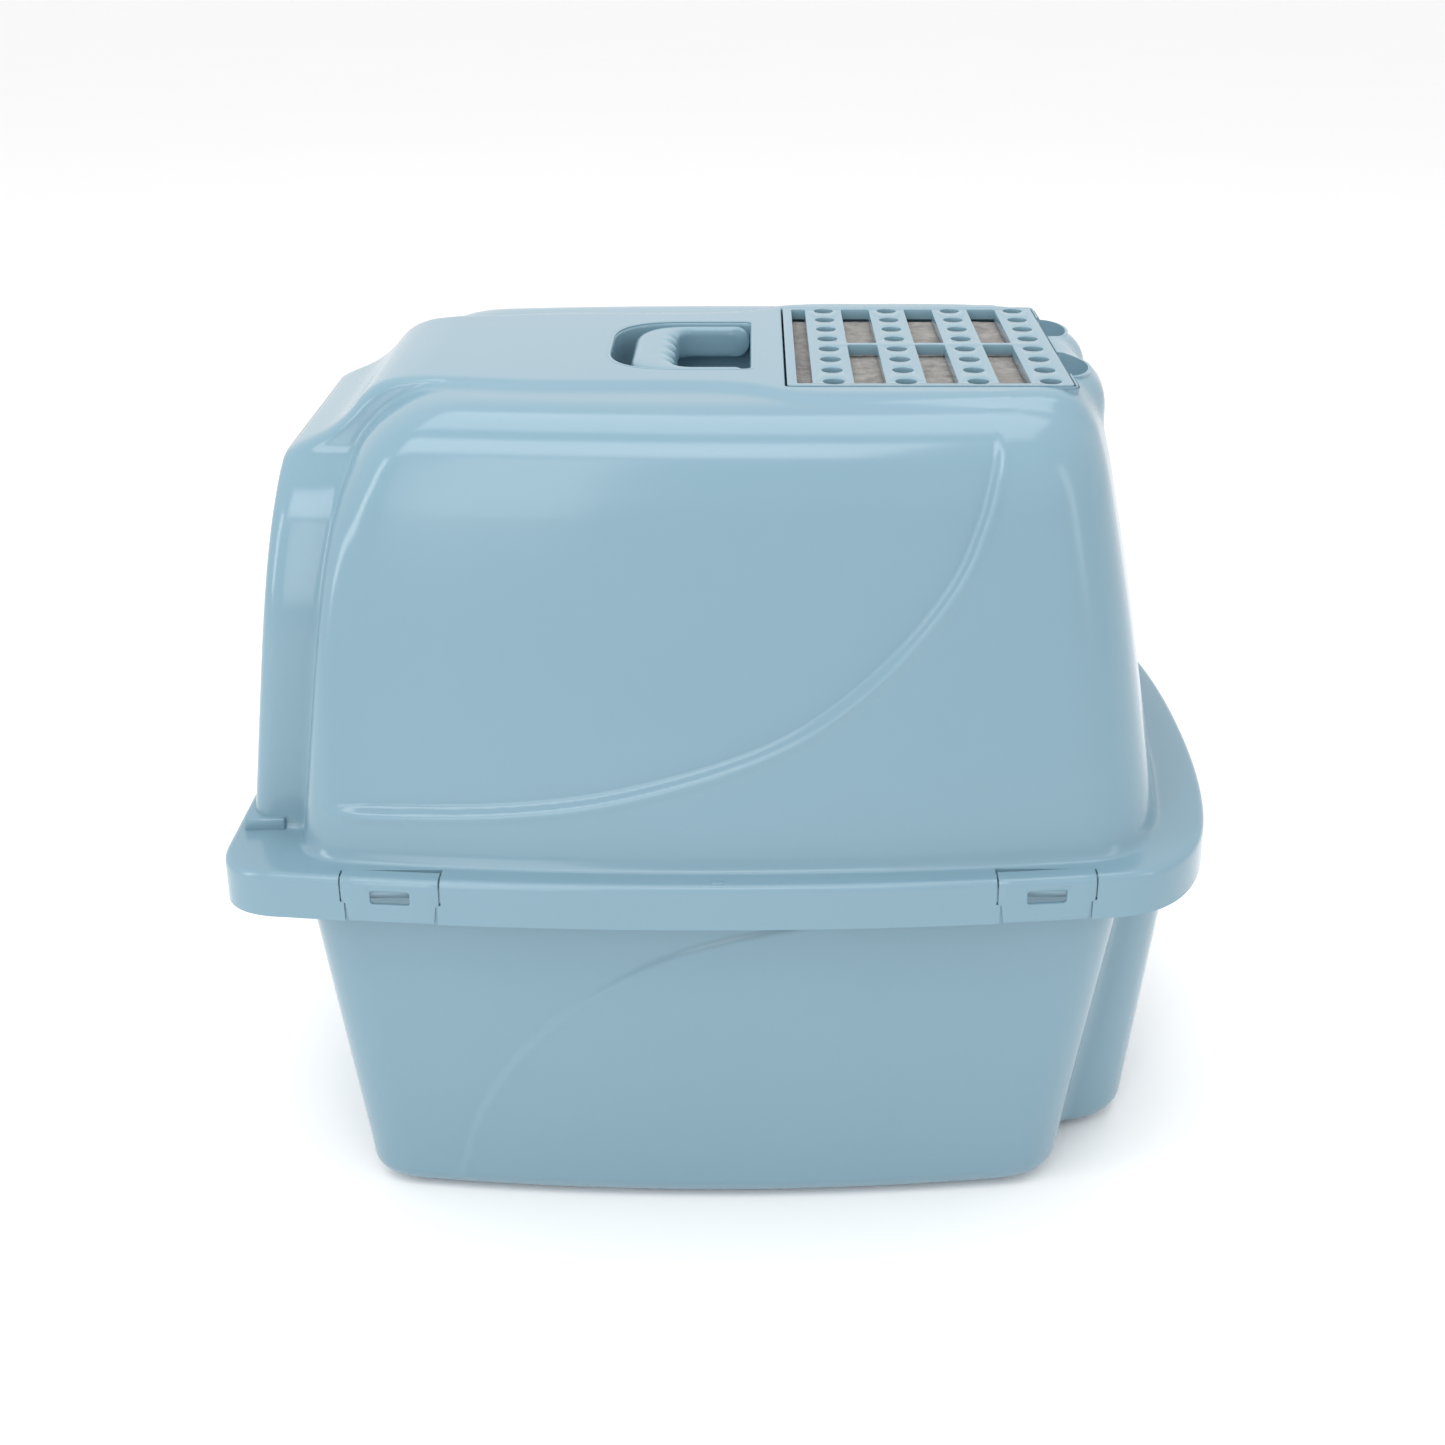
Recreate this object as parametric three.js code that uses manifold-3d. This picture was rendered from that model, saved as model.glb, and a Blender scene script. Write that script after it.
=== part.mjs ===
// Hooded cat litter box: a deep tray, a lift-off hood held by four side clips, with an entry porch
// and its swing flap, a fold-down carrying handle and a hinged vent lid over a carbon filter.
// Millimetres. +Z up, +X to the rear (vent end), -X to the entry, origin on the floor under the middle.
import * as THREE from 'three';
import { mergeVertices } from 'three/addons/utils/BufferGeometryUtils.js';
import Module from 'manifold-3d';

const wasm = await Module();
wasm.setup();

// ---- Driving dimensions -------------------------------------------------------------------------
const HALF_LENGTH = 266;          // rim, front edge and rear bow
const HALF_WIDTH = 200;           // rim, at the middle of its bowed sides
const RIM_TOP = 235;              // top of the hood's flange
const SKIRT = 25;                 // height of the skirt that hangs from the flange
const ROOF = 463;                 // top of the roof
const WALL = 3;                   // moulded wall thickness
const GAP = 0.5;                  // clearance between neighbouring mouldings
const CURVE_STEPS = 6;            // straight pieces in each curve of a plan

const SKIRT_WALL = 2.5;           // thickness of the skirt
const FLANGE = 3;                 // thickness of the hood's flange

const TRAY_TOP = RIM_TOP - FLANGE - GAP;
const TRAY_LEDGE = 3;             // how far the tray's rim turns out from its wall
const TRAY_LIP = 3;               // thickness of the tray's turned-out rim
const TRAY_RIM_DEPTH = 10;        // how far the rim's edge turns down
const FLOOR_WALL = 3.5;
const FLOOR_ROUND = 16;           // radius between the tray's walls and its floor

const PORCH_FRONT = -257;         // porch face at its foot
const PORCH_DEPTH = 20;
const PORCH_LEAN = 0.131;         // the face leans back by this much per millimetre of height
const PORCH_TOP = 425;
const DOOR_HALF = 98;             // entry opening, half width at its foot
const DOOR_TOP = 404;

const FLAP_AXIS = { x: -231.5, z: 396 };
const FLAP_FOOT = 239;            // lowest point of the flap
const FLAP_WALL = 2.4;

const HANDLE_AXIS = { x: 1, z: 453 };
const HANDLE_TIP = -55;           // outer edge of the grip
const HANDLE_HALF = 50;
const HANDLE_ARM = 8;             // width of each arm
const HANDLE_TALL = 17;           // height of the grip and the arms
const RECESS = { x0: -66, x1: 10, half: 53, floor: 430 };

const LID = { x0: 28, x1: 174, half: 88, thick: 6 };
const LID_AXIS = { x: 31, z: ROOF - 3 };
const LID_BARS = 4;
const LID_HOLES = 8;              // along each bar
const BAR_PITCH = 36.9;
const FIRST_BAR = 52.2;
const HOLE_PITCH = 22.8;
const HOLE_RADIUS = 5.6;
const SLOT_WIDTH = 16.5;
const FILTER_THICK = 8;
const SEAT_FLOOR = LID_AXIS.z - 3 - GAP - FILTER_THICK - GAP;

const CLIP_X = [-174, 161];       // middles of the front and rear clips
const CLIP_HALF = 25.5;
const CLIP_BARREL = 3;

// ---- Solids -------------------------------------------------------------------------------------
function toSolid(geometry) {
  geometry.deleteAttribute('normal');
  geometry.deleteAttribute('uv');
  const merged = mergeVertices(geometry, 1e-4);
  return new wasm.Manifold(new wasm.Mesh({
    numProp: 3,
    vertProperties: new Float32Array(merged.attributes.position.array),
    triVerts: new Uint32Array(merged.index.array),
  }));
}

function toGeometry(solid) {
  const mesh = solid.getMesh();
  const geometry = new THREE.BufferGeometry();
  geometry.setAttribute('position', new THREE.BufferAttribute(mesh.vertProperties, 3));
  geometry.setIndex(new THREE.BufferAttribute(mesh.triVerts, 1));
  geometry.computeVertexNormals();
  return geometry;
}

function block(x0, x1, y0, y1, z0, z1) {
  const geometry = new THREE.BoxGeometry(x1 - x0, y1 - y0, z1 - z0);
  geometry.translate((x0 + x1) / 2, (y0 + y1) / 2, (z0 + z1) / 2);
  return toSolid(geometry);
}

// A round bar along Y, from y0 to y1.
function barAlongY(radius, x, z, y0, y1, sides = 24) {
  const geometry = new THREE.CylinderGeometry(radius, radius, y1 - y0, sides);
  geometry.translate(x, (y0 + y1) / 2, z);
  return toSolid(geometry);
}

// A round bar along X, from x0 to x1.
function barAlongX(radius, y, z, x0, x1, sides = 24) {
  const geometry = new THREE.CylinderGeometry(radius, radius, x1 - x0, sides);
  geometry.rotateZ(Math.PI / 2);
  geometry.translate((x0 + x1) / 2, y, z);
  return toSolid(geometry);
}

function bore(radius, x, y, z0, z1) {
  const geometry = new THREE.CylinderGeometry(radius, radius, z1 - z0, 12);
  geometry.rotateX(Math.PI / 2);
  geometry.translate(x, y, (z0 + z1) / 2);
  return toSolid(geometry);
}

function union(solids) {
  return solids.reduce((sum, solid) => sum.add(solid));
}

// ---- Outlines -----------------------------------------------------------------------------------
// Half of a plan outline on the +Y side, from the front centre to the rear centre, mirrored to -Y.
function mirroredPlan(half) {
  const upper = half.getPoints(CURVE_STEPS);
  const lower = upper.slice(1, -1).reverse().map((p) => new THREE.Vector2(p.x, -p.y));
  return [...upper, ...lower];
}

// Moves every point of a closed convex outline inwards along its normal.
function inset(points, distance) {
  return points.map((p, i) => {
    const before = points[(i + points.length - 1) % points.length];
    const after = points[(i + 1) % points.length];
    const along = new THREE.Vector2().subVectors(after, before).normalize();
    return new THREE.Vector2(p.x + along.y * distance, p.y - along.x * distance);
  });
}

// The rim: straight at the entry, bowed along its sides, D-shaped at the rear.
function rimPlan() {
  const half = new THREE.Path();
  half.moveTo(-HALF_LENGTH, 0);
  half.lineTo(-HALF_LENGTH, HALF_WIDTH - 48);
  half.quadraticCurveTo(-HALF_LENGTH, HALF_WIDTH - 15, -230, HALF_WIDTH - 13);
  half.quadraticCurveTo(-8, HALF_WIDTH + 13, 200, HALF_WIDTH - 13);
  half.quadraticCurveTo(243, HALF_WIDTH - 20, 256, HALF_WIDTH - 80);
  half.quadraticCurveTo(HALF_LENGTH, 72, HALF_LENGTH, 0);
  return mirroredPlan(half);
}

// The hood's foot, inside the ledge of the flange.
function hoodPlan() {
  const half = new THREE.Path();
  half.moveTo(-226, 0);
  half.lineTo(-226, 136);
  half.quadraticCurveTo(-232, 166, -200, 172);
  half.quadraticCurveTo(-8, 196, 185, 171);
  half.quadraticCurveTo(222, 164, 226, 120);
  half.quadraticCurveTo(240, 60, 241, 0);
  return mirroredPlan(half);
}

// The tray under the flange: a rounded oblong with a belly at the rear.
function trayPlan() {
  const half = new THREE.Path();
  half.moveTo(-229, 0);
  half.lineTo(-229, 136);
  half.quadraticCurveTo(-229, 168, -196, 170);
  half.quadraticCurveTo(-8, 194, 178, 170);
  half.quadraticCurveTo(210, 167, 213, 130);
  half.bezierCurveTo(214, 84, 248, 100, 252, 52);
  half.quadraticCurveTo(254, 26, 254, 0);
  return mirroredPlan(half);
}

function prism(points, z0, z1, steps = 1) {
  const geometry = new THREE.ExtrudeGeometry(new THREE.Shape(points), {
    depth: z1 - z0,
    steps,
    bevelEnabled: false,
  });
  geometry.translate(0, 0, z0);
  return geometry;
}

// Moves each vertex of a geometry to where the given function says.
function warp(geometry, place) {
  const position = geometry.attributes.position;
  const point = new THREE.Vector3();
  for (let i = 0; i < position.count; i += 1) {
    point.fromBufferAttribute(position, i);
    place(point);
    position.setXYZ(i, point.x, point.y, point.z);
  }
  return geometry;
}

// How far a quarter round of a radius has come in at a distance from its start.
function roundIn(radius, distance) {
  const d = Math.min(Math.max(distance, 0), radius);
  return radius - Math.sqrt(radius * radius - d * d);
}

// ---- Tray ---------------------------------------------------------------------------------------
function trayBody(points, floor, top, thickness) {
  const round = FLOOR_ROUND - thickness;
  return toSolid(warp(prism(points, floor, top, 8), (p) => {
    const up = (p.z - floor) / (top - floor);
    const level = floor + (top - floor) * up ** 1.5;
    const inwards = roundIn(round, round - (level - floor));
    const height = (level - TRAY_TOP) / TRAY_TOP;
    const draft = p.x > 0 ? 0.055 : 0.1;
    p.x *= 1 + draft * height - inwards / 230;
    p.y *= 1 + 0.165 * height - inwards / 180;
    p.z = level;
  }));
}

function tray() {
  const plan = trayPlan();
  const outside = trayBody(plan, 0, TRAY_TOP, 0);
  const inside = trayBody(inset(plan, WALL), FLOOR_WALL, TRAY_TOP + 1, FLOOR_WALL);
  const rim = inset(plan, -TRAY_LEDGE);
  const lip = toSolid(prism(rim, TRAY_TOP - TRAY_LIP, TRAY_TOP));
  const turned = toSolid(prism(rim, TRAY_TOP - TRAY_RIM_DEPTH, TRAY_TOP)).subtract(
    toSolid(prism(inset(rim, 2), TRAY_TOP - TRAY_RIM_DEPTH - 1, TRAY_TOP + 1)),
  );
  return outside.add(lip).add(turned).subtract(inside);
}

// ---- Hood ---------------------------------------------------------------------------------------
// Everything under the roof line, which is level and then falls to the porch. Drawn in X and Z.
function underRoof(shrink) {
  const top = ROOF - shrink;
  const shape = new THREE.Shape();
  shape.moveTo(300, 200);
  shape.lineTo(300, top);
  shape.lineTo(-145, top);
  shape.bezierCurveTo(-180, top, -190, top - 18, -215, top - 31);
  shape.lineTo(-320, top - 82);
  shape.lineTo(-320, 200);
  const geometry = new THREE.ExtrudeGeometry(shape, { depth: 500, bevelEnabled: false, curveSegments: 8 });
  geometry.rotateX(Math.PI / 2);
  geometry.translate(0, 250, 0);
  return toSolid(geometry);
}

function hoodBody(points, foot, shrink) {
  const shoulder = 46;
  const top = ROOF - shrink;
  return toSolid(warp(prism(points, foot, top, 11), (p) => {
    const up = (p.z - foot) / (top - foot);
    const eased = 1 - (1 - up) ** 1.8;
    const level = foot + (top - foot) * eased;
    const inwards = roundIn(shoulder, level - (top - shoulder));
    const height = (level - RIM_TOP) / (ROOF - RIM_TOP);
    const reach = p.x < 0 ? 1 - 0.12 * height : 1 - 0.18 * height;
    const narrow = 1 - 0.205 * height;
    const bend = p.x < 0 ? 0.15 : 0.5;
    p.x = p.x * reach - Math.sign(p.x) * inwards * Math.min(1, Math.abs(p.x) / 200) * bend;
    p.y = p.y * narrow - Math.sign(p.y) * inwards * Math.min(1, Math.abs(p.y) / 120) * 0.9;
    p.z = level;
  })).intersect(underRoof(shrink));
}

function flangeAndSkirt() {
  const rim = rimPlan();
  const soft = 4;
  const outside = toSolid(warp(prism(rim, RIM_TOP - SKIRT, RIM_TOP, 4), (p) => {
    const up = (p.z - (RIM_TOP - SKIRT)) / SKIRT;
    const level = RIM_TOP - SKIRT * (1 - up) ** 2;
    const inwards = roundIn(soft, level - (RIM_TOP - soft));
    p.x *= 1 - inwards / HALF_LENGTH;
    p.y *= 1 - inwards / HALF_WIDTH;
    p.z = level;
  }));
  const under = toSolid(prism(inset(rim, SKIRT_WALL), RIM_TOP - SKIRT - 1, RIM_TOP - FLANGE));
  return outside.subtract(under);
}

// The lugs that hold a clip's two pins, under the flange on each side of its notch.
function clipLugs(x, side) {
  return union([-1, 1].map((end) => {
    const near = x + end * (CLIP_HALF + GAP);
    const far = near + end * 4.5;
    const y = clipAxisY(x) * side;
    return block(Math.min(near, far), Math.max(near, far), y - 4, y + 4, RIM_TOP - 9, RIM_TOP - 1);
  }));
}

// Distance of the rim's side edge from the middle plane at a place along the box.
function rimHalfAt(x) {
  const rim = rimPlan().filter((p) => p.y > 0);
  const next = rim.findIndex((p) => p.x > x);
  const a = rim[next - 1];
  const b = rim[next];
  return THREE.MathUtils.lerp(a.y, b.y, (x - a.x) / (b.x - a.x));
}

function clipAxisY(x) {
  return rimHalfAt(x) - 7.5;
}

function clipNotch(x, side) {
  const y = clipAxisY(x) - CLIP_BARREL - GAP;
  const y0 = Math.min(side * y, side * 215);
  const y1 = Math.max(side * y, side * 215);
  return block(x - CLIP_HALF - GAP, x + CLIP_HALF + GAP, y0, y1, RIM_TOP - SKIRT - 2, RIM_TOP + 2);
}

function recessPlan(grow) {
  const path = new THREE.Path();
  const half = RECESS.half + grow;
  path.moveTo(RECESS.x1 + grow, -half);
  path.lineTo(RECESS.x1 + grow, half);
  path.lineTo(-30, half);
  path.quadraticCurveTo(RECESS.x0 - grow, half, RECESS.x0 - grow, half - 38);
  path.lineTo(RECESS.x0 - grow, 38 - half);
  path.quadraticCurveTo(RECESS.x0 - grow, -half, -30, -half);
  return path.getPoints(CURVE_STEPS);
}

function seatSlots() {
  const slots = [];
  for (let i = 0; i < 5; i += 1) {
    for (const side of [-1, 1]) {
      const x = LID.x0 + 12 + i * 27;
      slots.push(block(x, x + 17, side > 0 ? 8 : -78, side > 0 ? 78 : -8, SEAT_FLOOR - 9, SEAT_FLOOR + 1));
    }
  }
  return union(slots);
}

function fingerPocket(side) {
  const geometry = new THREE.SphereGeometry(1, 20, 12);
  geometry.scale(16, 24, 20);
  geometry.translate(LID.x1 + 0.5, side * 40, ROOF + 1);
  return toSolid(geometry);
}

function fingerLip(side) {
  const geometry = new THREE.CylinderGeometry(1, 1.25, 46, 24);
  geometry.rotateX(Math.PI / 2);
  geometry.scale(20, 30, 1);
  geometry.translate(LID.x1 - 1, side * 40, ROOF - 1.5 - 23);
  return toSolid(geometry);
}

function hood() {
  const plan = hoodPlan();
  const outside = hoodBody(plan, RIM_TOP - FLANGE, 0).add(porchOutside());
  const inside = hoodBody(inset(plan, WALL), RIM_TOP - FLANGE - 1, WALL).add(porchInside());
  const lugs = union(CLIP_X.flatMap((x) => [clipLugs(x, -1), clipLugs(x, 1)]));
  const lips = union([fingerLip(-1), fingerLip(1)]);
  const recessTub = toSolid(prism(recessPlan(WALL), RECESS.floor - WALL, ROOF - 1));
  const seatTub = block(
    LID.x0 - 1 - WALL, LID.x1 + GAP + WALL, -LID.half - GAP - WALL, LID.half + GAP + WALL,
    SEAT_FLOOR - 2.5, ROOF - 1,
  );
  let shell = outside.add(flangeAndSkirt()).add(lips).subtract(inside);
  shell = shell.add(recessTub).add(seatTub).add(lugs).add(entrySleeve());
  shell = shell.subtract(toSolid(prism(recessPlan(0), RECESS.floor, ROOF + 5)));
  shell = shell.subtract(block(
    LID.x0 - 1, LID.x1 + GAP, -LID.half - GAP, LID.half + GAP, SEAT_FLOOR, ROOF + 5,
  ));
  shell = shell.subtract(seatSlots()).subtract(entry());
  for (const side of [-1, 1]) {
    shell = shell.subtract(fingerPocket(side));
    for (const x of CLIP_X) {
      shell = shell.subtract(clipNotch(x, side));
      shell = shell.subtract(barAlongX(2.1, side * clipAxisY(x), RIM_TOP - CLIP_BARREL, x - 34, x + 34));
    }
  }
  shell = shell.subtract(barAlongY(2.8, FLAP_AXIS.x, FLAP_AXIS.z, -98, 98));
  shell = shell.subtract(barAlongY(3.3, HANDLE_AXIS.x, HANDLE_AXIS.z, -60, 60));
  return shell.subtract(barAlongY(2.3, LID_AXIS.x, LID_AXIS.z, -LID.half - 3, LID.half + 3));
}

// ---- Porch and flap -----------------------------------------------------------------------------
// An arch seen from the front: leaning sides and rounded top corners. Drawn in Y and Z.
function arch(halfFoot, halfTop, foot, top, round) {
  const shape = new THREE.Shape();
  shape.moveTo(-halfFoot, foot);
  shape.lineTo(halfFoot, foot);
  shape.lineTo(halfTop, top - round);
  shape.quadraticCurveTo(halfTop - 3, top, halfTop - 3 - round, top);
  shape.lineTo(-(halfTop - 3 - round), top);
  shape.quadraticCurveTo(-(halfTop - 3), top, -halfTop, top - round);
  return shape.getPoints(CURVE_STEPS);
}

// Extrudes an arch along X and leans it back with the porch face.
function leaning(points, front, depth) {
  const geometry = new THREE.ExtrudeGeometry(new THREE.Shape(points), { depth, bevelEnabled: false });
  geometry.rotateX(Math.PI / 2);
  geometry.rotateZ(Math.PI / 2);
  return toSolid(warp(geometry, (p) => {
    p.x += front + Math.max(0, p.z - RIM_TOP) * PORCH_LEAN;
  }));
}

function porchOutside() {
  const body = leaning(arch(135, 112, RIM_TOP - FLANGE, 437, 42), PORCH_FRONT, 60);
  const foot = leaning(arch(137, 137, RIM_TOP - FLANGE, RIM_TOP + 7, 1), PORCH_FRONT - 3, 30);
  return body.intersect(underRoof(0)).add(foot);
}

function porchInside() {
  const front = PORCH_FRONT + WALL;
  return leaning(arch(132, 109, RIM_TOP - FLANGE - 1, 434, 41), front, 60).intersect(underRoof(WALL));
}

// The short sleeve that leads in from the entry, with the two bosses that hold the flap's pins.
function entrySleeve() {
  const sleeve = leaning(
    arch(DOOR_HALF + 2.5, DOOR_HALF - 5.5, RIM_TOP - 1, DOOR_TOP + 2.5, 18), PORCH_FRONT + 1, PORCH_DEPTH,
  );
  const bosses = [-1, 1].map((side) => barAlongY(
    4.5, FLAP_AXIS.x, FLAP_AXIS.z, side > 0 ? 91 : -96, side > 0 ? 96 : -91,
  ));
  return union([sleeve, ...bosses]);
}

function entry() {
  return leaning(arch(DOOR_HALF, DOOR_HALF - 8, RIM_TOP, DOOR_TOP, 18), PORCH_FRONT - 10, 60);
}

// Side view of the flap: a straight sheet whose foot flares out into a curled lip.
function flapProfile() {
  const path = new THREE.Path();
  const back = FLAP_AXIS.x + 4;
  const front = back - FLAP_WALL;
  const tip = FLAP_AXIS.x - 33.5;
  path.moveTo(back, FLAP_AXIS.z);
  path.lineTo(back, 292);
  path.bezierCurveTo(back, 262, tip + 22, FLAP_FOOT - 3, tip, FLAP_FOOT + 3);
  path.lineTo(tip + 0.5, FLAP_FOOT + FLAP_WALL + 3);
  path.bezierCurveTo(tip + 20, FLAP_FOOT + 1, front, 264, front, 292);
  path.lineTo(front, FLAP_AXIS.z);
  return path.getPoints(7);
}

function flap() {
  const half = DOOR_HALF - 5;
  const geometry = new THREE.ExtrudeGeometry(new THREE.Shape(flapProfile()), {
    depth: 2 * half,
    bevelEnabled: false,
  });
  geometry.rotateX(Math.PI / 2);
  geometry.translate(0, half, 0);
  const sheet = toSolid(geometry).intersect(leaning(
    arch(half, half - 8, 200, FLAP_AXIS.z + 3, 14), PORCH_FRONT - 40, 90,
  ));
  const barrel = barAlongY(3, FLAP_AXIS.x, FLAP_AXIS.z, -half + 15, half - 15);
  const pins = barAlongY(2.4, FLAP_AXIS.x, FLAP_AXIS.z, -95, 95);
  return sheet.add(barrel).add(pins);
}

// ---- Handle -------------------------------------------------------------------------------------
// Plan of the bail: a broad grip at the front and two arms that reach back to the pins.
function bailPlan() {
  const path = new THREE.Path();
  const inner = HANDLE_HALF - HANDLE_ARM;
  path.moveTo(HANDLE_AXIS.x + 5.5, HANDLE_HALF);
  path.lineTo(-28, HANDLE_HALF);
  path.quadraticCurveTo(HANDLE_TIP, HANDLE_HALF, HANDLE_TIP, HANDLE_HALF - 36);
  path.lineTo(HANDLE_TIP, 36 - HANDLE_HALF);
  path.quadraticCurveTo(HANDLE_TIP, -HANDLE_HALF, -28, -HANDLE_HALF);
  path.lineTo(HANDLE_AXIS.x + 5.5, -HANDLE_HALF);
  path.lineTo(HANDLE_AXIS.x + 5.5, -inner);
  path.lineTo(-20, -inner);
  path.quadraticCurveTo(-32, -inner, -32, -inner + 14);
  path.lineTo(-32, inner - 14);
  path.quadraticCurveTo(-32, inner, -20, inner);
  path.lineTo(HANDLE_AXIS.x + 5.5, inner);
  return path.getPoints(CURVE_STEPS);
}

function handle() {
  const low = HANDLE_AXIS.z - HANDLE_TALL / 2;
  const slab = toSolid(prism(bailPlan(), low, low + HANDLE_TALL));
  const eye = barAlongY(
    HANDLE_TALL / 2, HANDLE_AXIS.x, HANDLE_AXIS.z, -HANDLE_HALF, HANDLE_HALF, 32,
  );
  const ends = block(HANDLE_AXIS.x, 40, -60, 60, low - 1, low + HANDLE_TALL + 1);
  const inner = HANDLE_HALF - HANDLE_ARM;
  const between = block(-100, 60, -inner, inner, low - 2, low + HANDLE_TALL + 2);
  const pins = union([-1, 1].map((side) => barAlongY(
    3, HANDLE_AXIS.x, HANDLE_AXIS.z, side > 0 ? 45 : -55.5, side > 0 ? 55.5 : -45,
  )));
  return slab.subtract(ends).add(eye.subtract(between)).add(pins);
}

// ---- Vent lid and filter ------------------------------------------------------------------------
function lid() {
  const top = LID_AXIS.z + 3;
  let plate = block(LID_AXIS.x, LID.x1, -LID.half, LID.half, top - LID.thick, top);
  plate = plate.add(barAlongY(3, LID_AXIS.x, LID_AXIS.z, -LID.half, LID.half, 32));
  plate = plate.add(barAlongY(2, LID_AXIS.x, LID_AXIS.z, -LID.half - 2.6, LID.half + 2.6));
  const cuts = [];
  for (let bar = 0; bar < LID_BARS; bar += 1) {
    const x = FIRST_BAR + bar * BAR_PITCH;
    for (let hole = 0; hole < LID_HOLES; hole += 1) {
      cuts.push(bore(HOLE_RADIUS, x, (hole - (LID_HOLES - 1) / 2) * HOLE_PITCH, top - 10, top + 4));
    }
    const slot = x - BAR_PITCH / 2 - (bar === 0 ? -1 : SLOT_WIDTH / 2);
    const wide = bar === 0 ? 9 : SLOT_WIDTH;
    if (bar === 0) {
      cuts.push(block(slot, slot + wide, -LID.half + 4, LID.half - 4, top - 10, top + 4));
    } else {
      cuts.push(block(slot, slot + wide, -LID.half + 4, -1.2, top - 10, top + 4));
      cuts.push(block(slot, slot + wide, 1.2, LID.half - 4, top - 10, top + 4));
    }
  }
  return plate.subtract(union(cuts));
}

function filter() {
  return block(
    LID.x0 + 0.5, LID.x1 - 1.5, -LID.half + 1, LID.half - 1,
    SEAT_FLOOR + GAP, SEAT_FLOOR + GAP + FILTER_THICK,
  );
}

// ---- Clips --------------------------------------------------------------------------------------
// A clip follows the skirt: a barrel on the hinge line, a short top leaf and a tapering face with a
// finger slot. The side is -1 on the right and 1 on the left.
function clip(x, side) {
  const axis = clipAxisY(x);
  const rim = rimPlan();
  const band = toSolid(prism(rim, RIM_TOP - SKIRT + 0.2, RIM_TOP - 0.2))
    .subtract(toSolid(prism(inset(rim, SKIRT_WALL), RIM_TOP - SKIRT - 1, RIM_TOP - FLANGE)));
  const wide = CLIP_HALF;
  const lower = block(x - wide + 2, x + wide - 2, side > 0 ? axis : -215, side > 0 ? 215 : -axis,
    RIM_TOP - SKIRT - 1, RIM_TOP - 11);
  const upper = block(x - wide, x + wide, side > 0 ? axis : -215, side > 0 ? 215 : -axis,
    RIM_TOP - 11, RIM_TOP + 1);
  const slot = block(x - 10, x + 10, side > 0 ? 170 : -215, side > 0 ? 215 : -170,
    RIM_TOP - 13.5, RIM_TOP - 6.5);
  const barrel = barAlongX(CLIP_BARREL, side * axis, RIM_TOP - CLIP_BARREL, x - wide, x + wide);
  const pin = barAlongX(1.8, side * axis, RIM_TOP - CLIP_BARREL, x - wide - 4, x + wide + 4);
  return band.intersect(lower.add(upper)).subtract(slot).add(barrel).add(pin);
}

// ---- Assembly -----------------------------------------------------------------------------------
const BLUE = { color: 0xa3c1d3, roughness: 0.32, metalness: 0 };
const FELT = { color: 0x9a9089, roughness: 0.95, metalness: 0 };
const SMOKE = { color: 0x5d7078, roughness: 0.25, metalness: 0 };

const litterBox = new THREE.Group();

function addPart(name, solid, finish) {
  const mesh = new THREE.Mesh(toGeometry(solid), new THREE.MeshStandardMaterial(finish));
  mesh.name = name;
  litterBox.add(mesh);
}

addPart('litter_tray', tray(), BLUE);
addPart('hood_shell', hood(), BLUE);
addPart('door_flap', flap(), SMOKE);
addPart('carry_handle', handle(), BLUE);
addPart('vent_lid', lid(), BLUE);
addPart('carbon_filter', filter(), FELT);
addPart('clip_front_right', clip(CLIP_X[0], -1), BLUE);
addPart('clip_front_left', clip(CLIP_X[0], 1), BLUE);
addPart('clip_rear_right', clip(CLIP_X[1], -1), BLUE);
addPart('clip_rear_left', clip(CLIP_X[1], 1), BLUE);

export default litterBox;
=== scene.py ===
import bisect
import math

import bmesh
import bpy
from bpy.props import FloatProperty, FloatVectorProperty, PointerProperty
from mathutils import Matrix, Vector, noise


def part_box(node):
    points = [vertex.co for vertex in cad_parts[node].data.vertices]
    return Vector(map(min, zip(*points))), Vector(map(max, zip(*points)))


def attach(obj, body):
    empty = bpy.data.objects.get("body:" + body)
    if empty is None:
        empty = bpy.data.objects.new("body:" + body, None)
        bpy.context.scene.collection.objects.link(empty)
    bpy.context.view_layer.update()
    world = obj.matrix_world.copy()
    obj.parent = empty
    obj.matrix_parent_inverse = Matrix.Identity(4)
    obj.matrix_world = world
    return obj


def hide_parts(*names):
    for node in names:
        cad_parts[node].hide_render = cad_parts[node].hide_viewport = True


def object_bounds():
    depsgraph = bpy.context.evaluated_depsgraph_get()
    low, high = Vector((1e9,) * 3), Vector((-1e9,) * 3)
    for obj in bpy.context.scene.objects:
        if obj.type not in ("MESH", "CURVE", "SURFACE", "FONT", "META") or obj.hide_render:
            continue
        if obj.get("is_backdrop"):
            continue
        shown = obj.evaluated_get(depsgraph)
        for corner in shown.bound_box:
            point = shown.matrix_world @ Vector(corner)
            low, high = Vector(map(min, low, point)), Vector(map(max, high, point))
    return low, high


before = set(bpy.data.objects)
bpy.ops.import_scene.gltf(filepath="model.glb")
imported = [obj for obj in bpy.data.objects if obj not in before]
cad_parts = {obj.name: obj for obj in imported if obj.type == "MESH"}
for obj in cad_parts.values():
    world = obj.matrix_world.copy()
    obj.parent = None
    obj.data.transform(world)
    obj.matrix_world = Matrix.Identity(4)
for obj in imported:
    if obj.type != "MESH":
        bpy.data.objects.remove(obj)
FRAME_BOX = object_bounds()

bl_info = {
    "name": "Hooded litter box",
    "version": (1, 0, 0),
    "blender": (4, 5, 0),
    "location": "View3D > Sidebar > Litter box",
    "description": "Builds a cat litter box with a lift-off hood, swing flap, vent lid and clips",
    "category": "Add Mesh",
}

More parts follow.
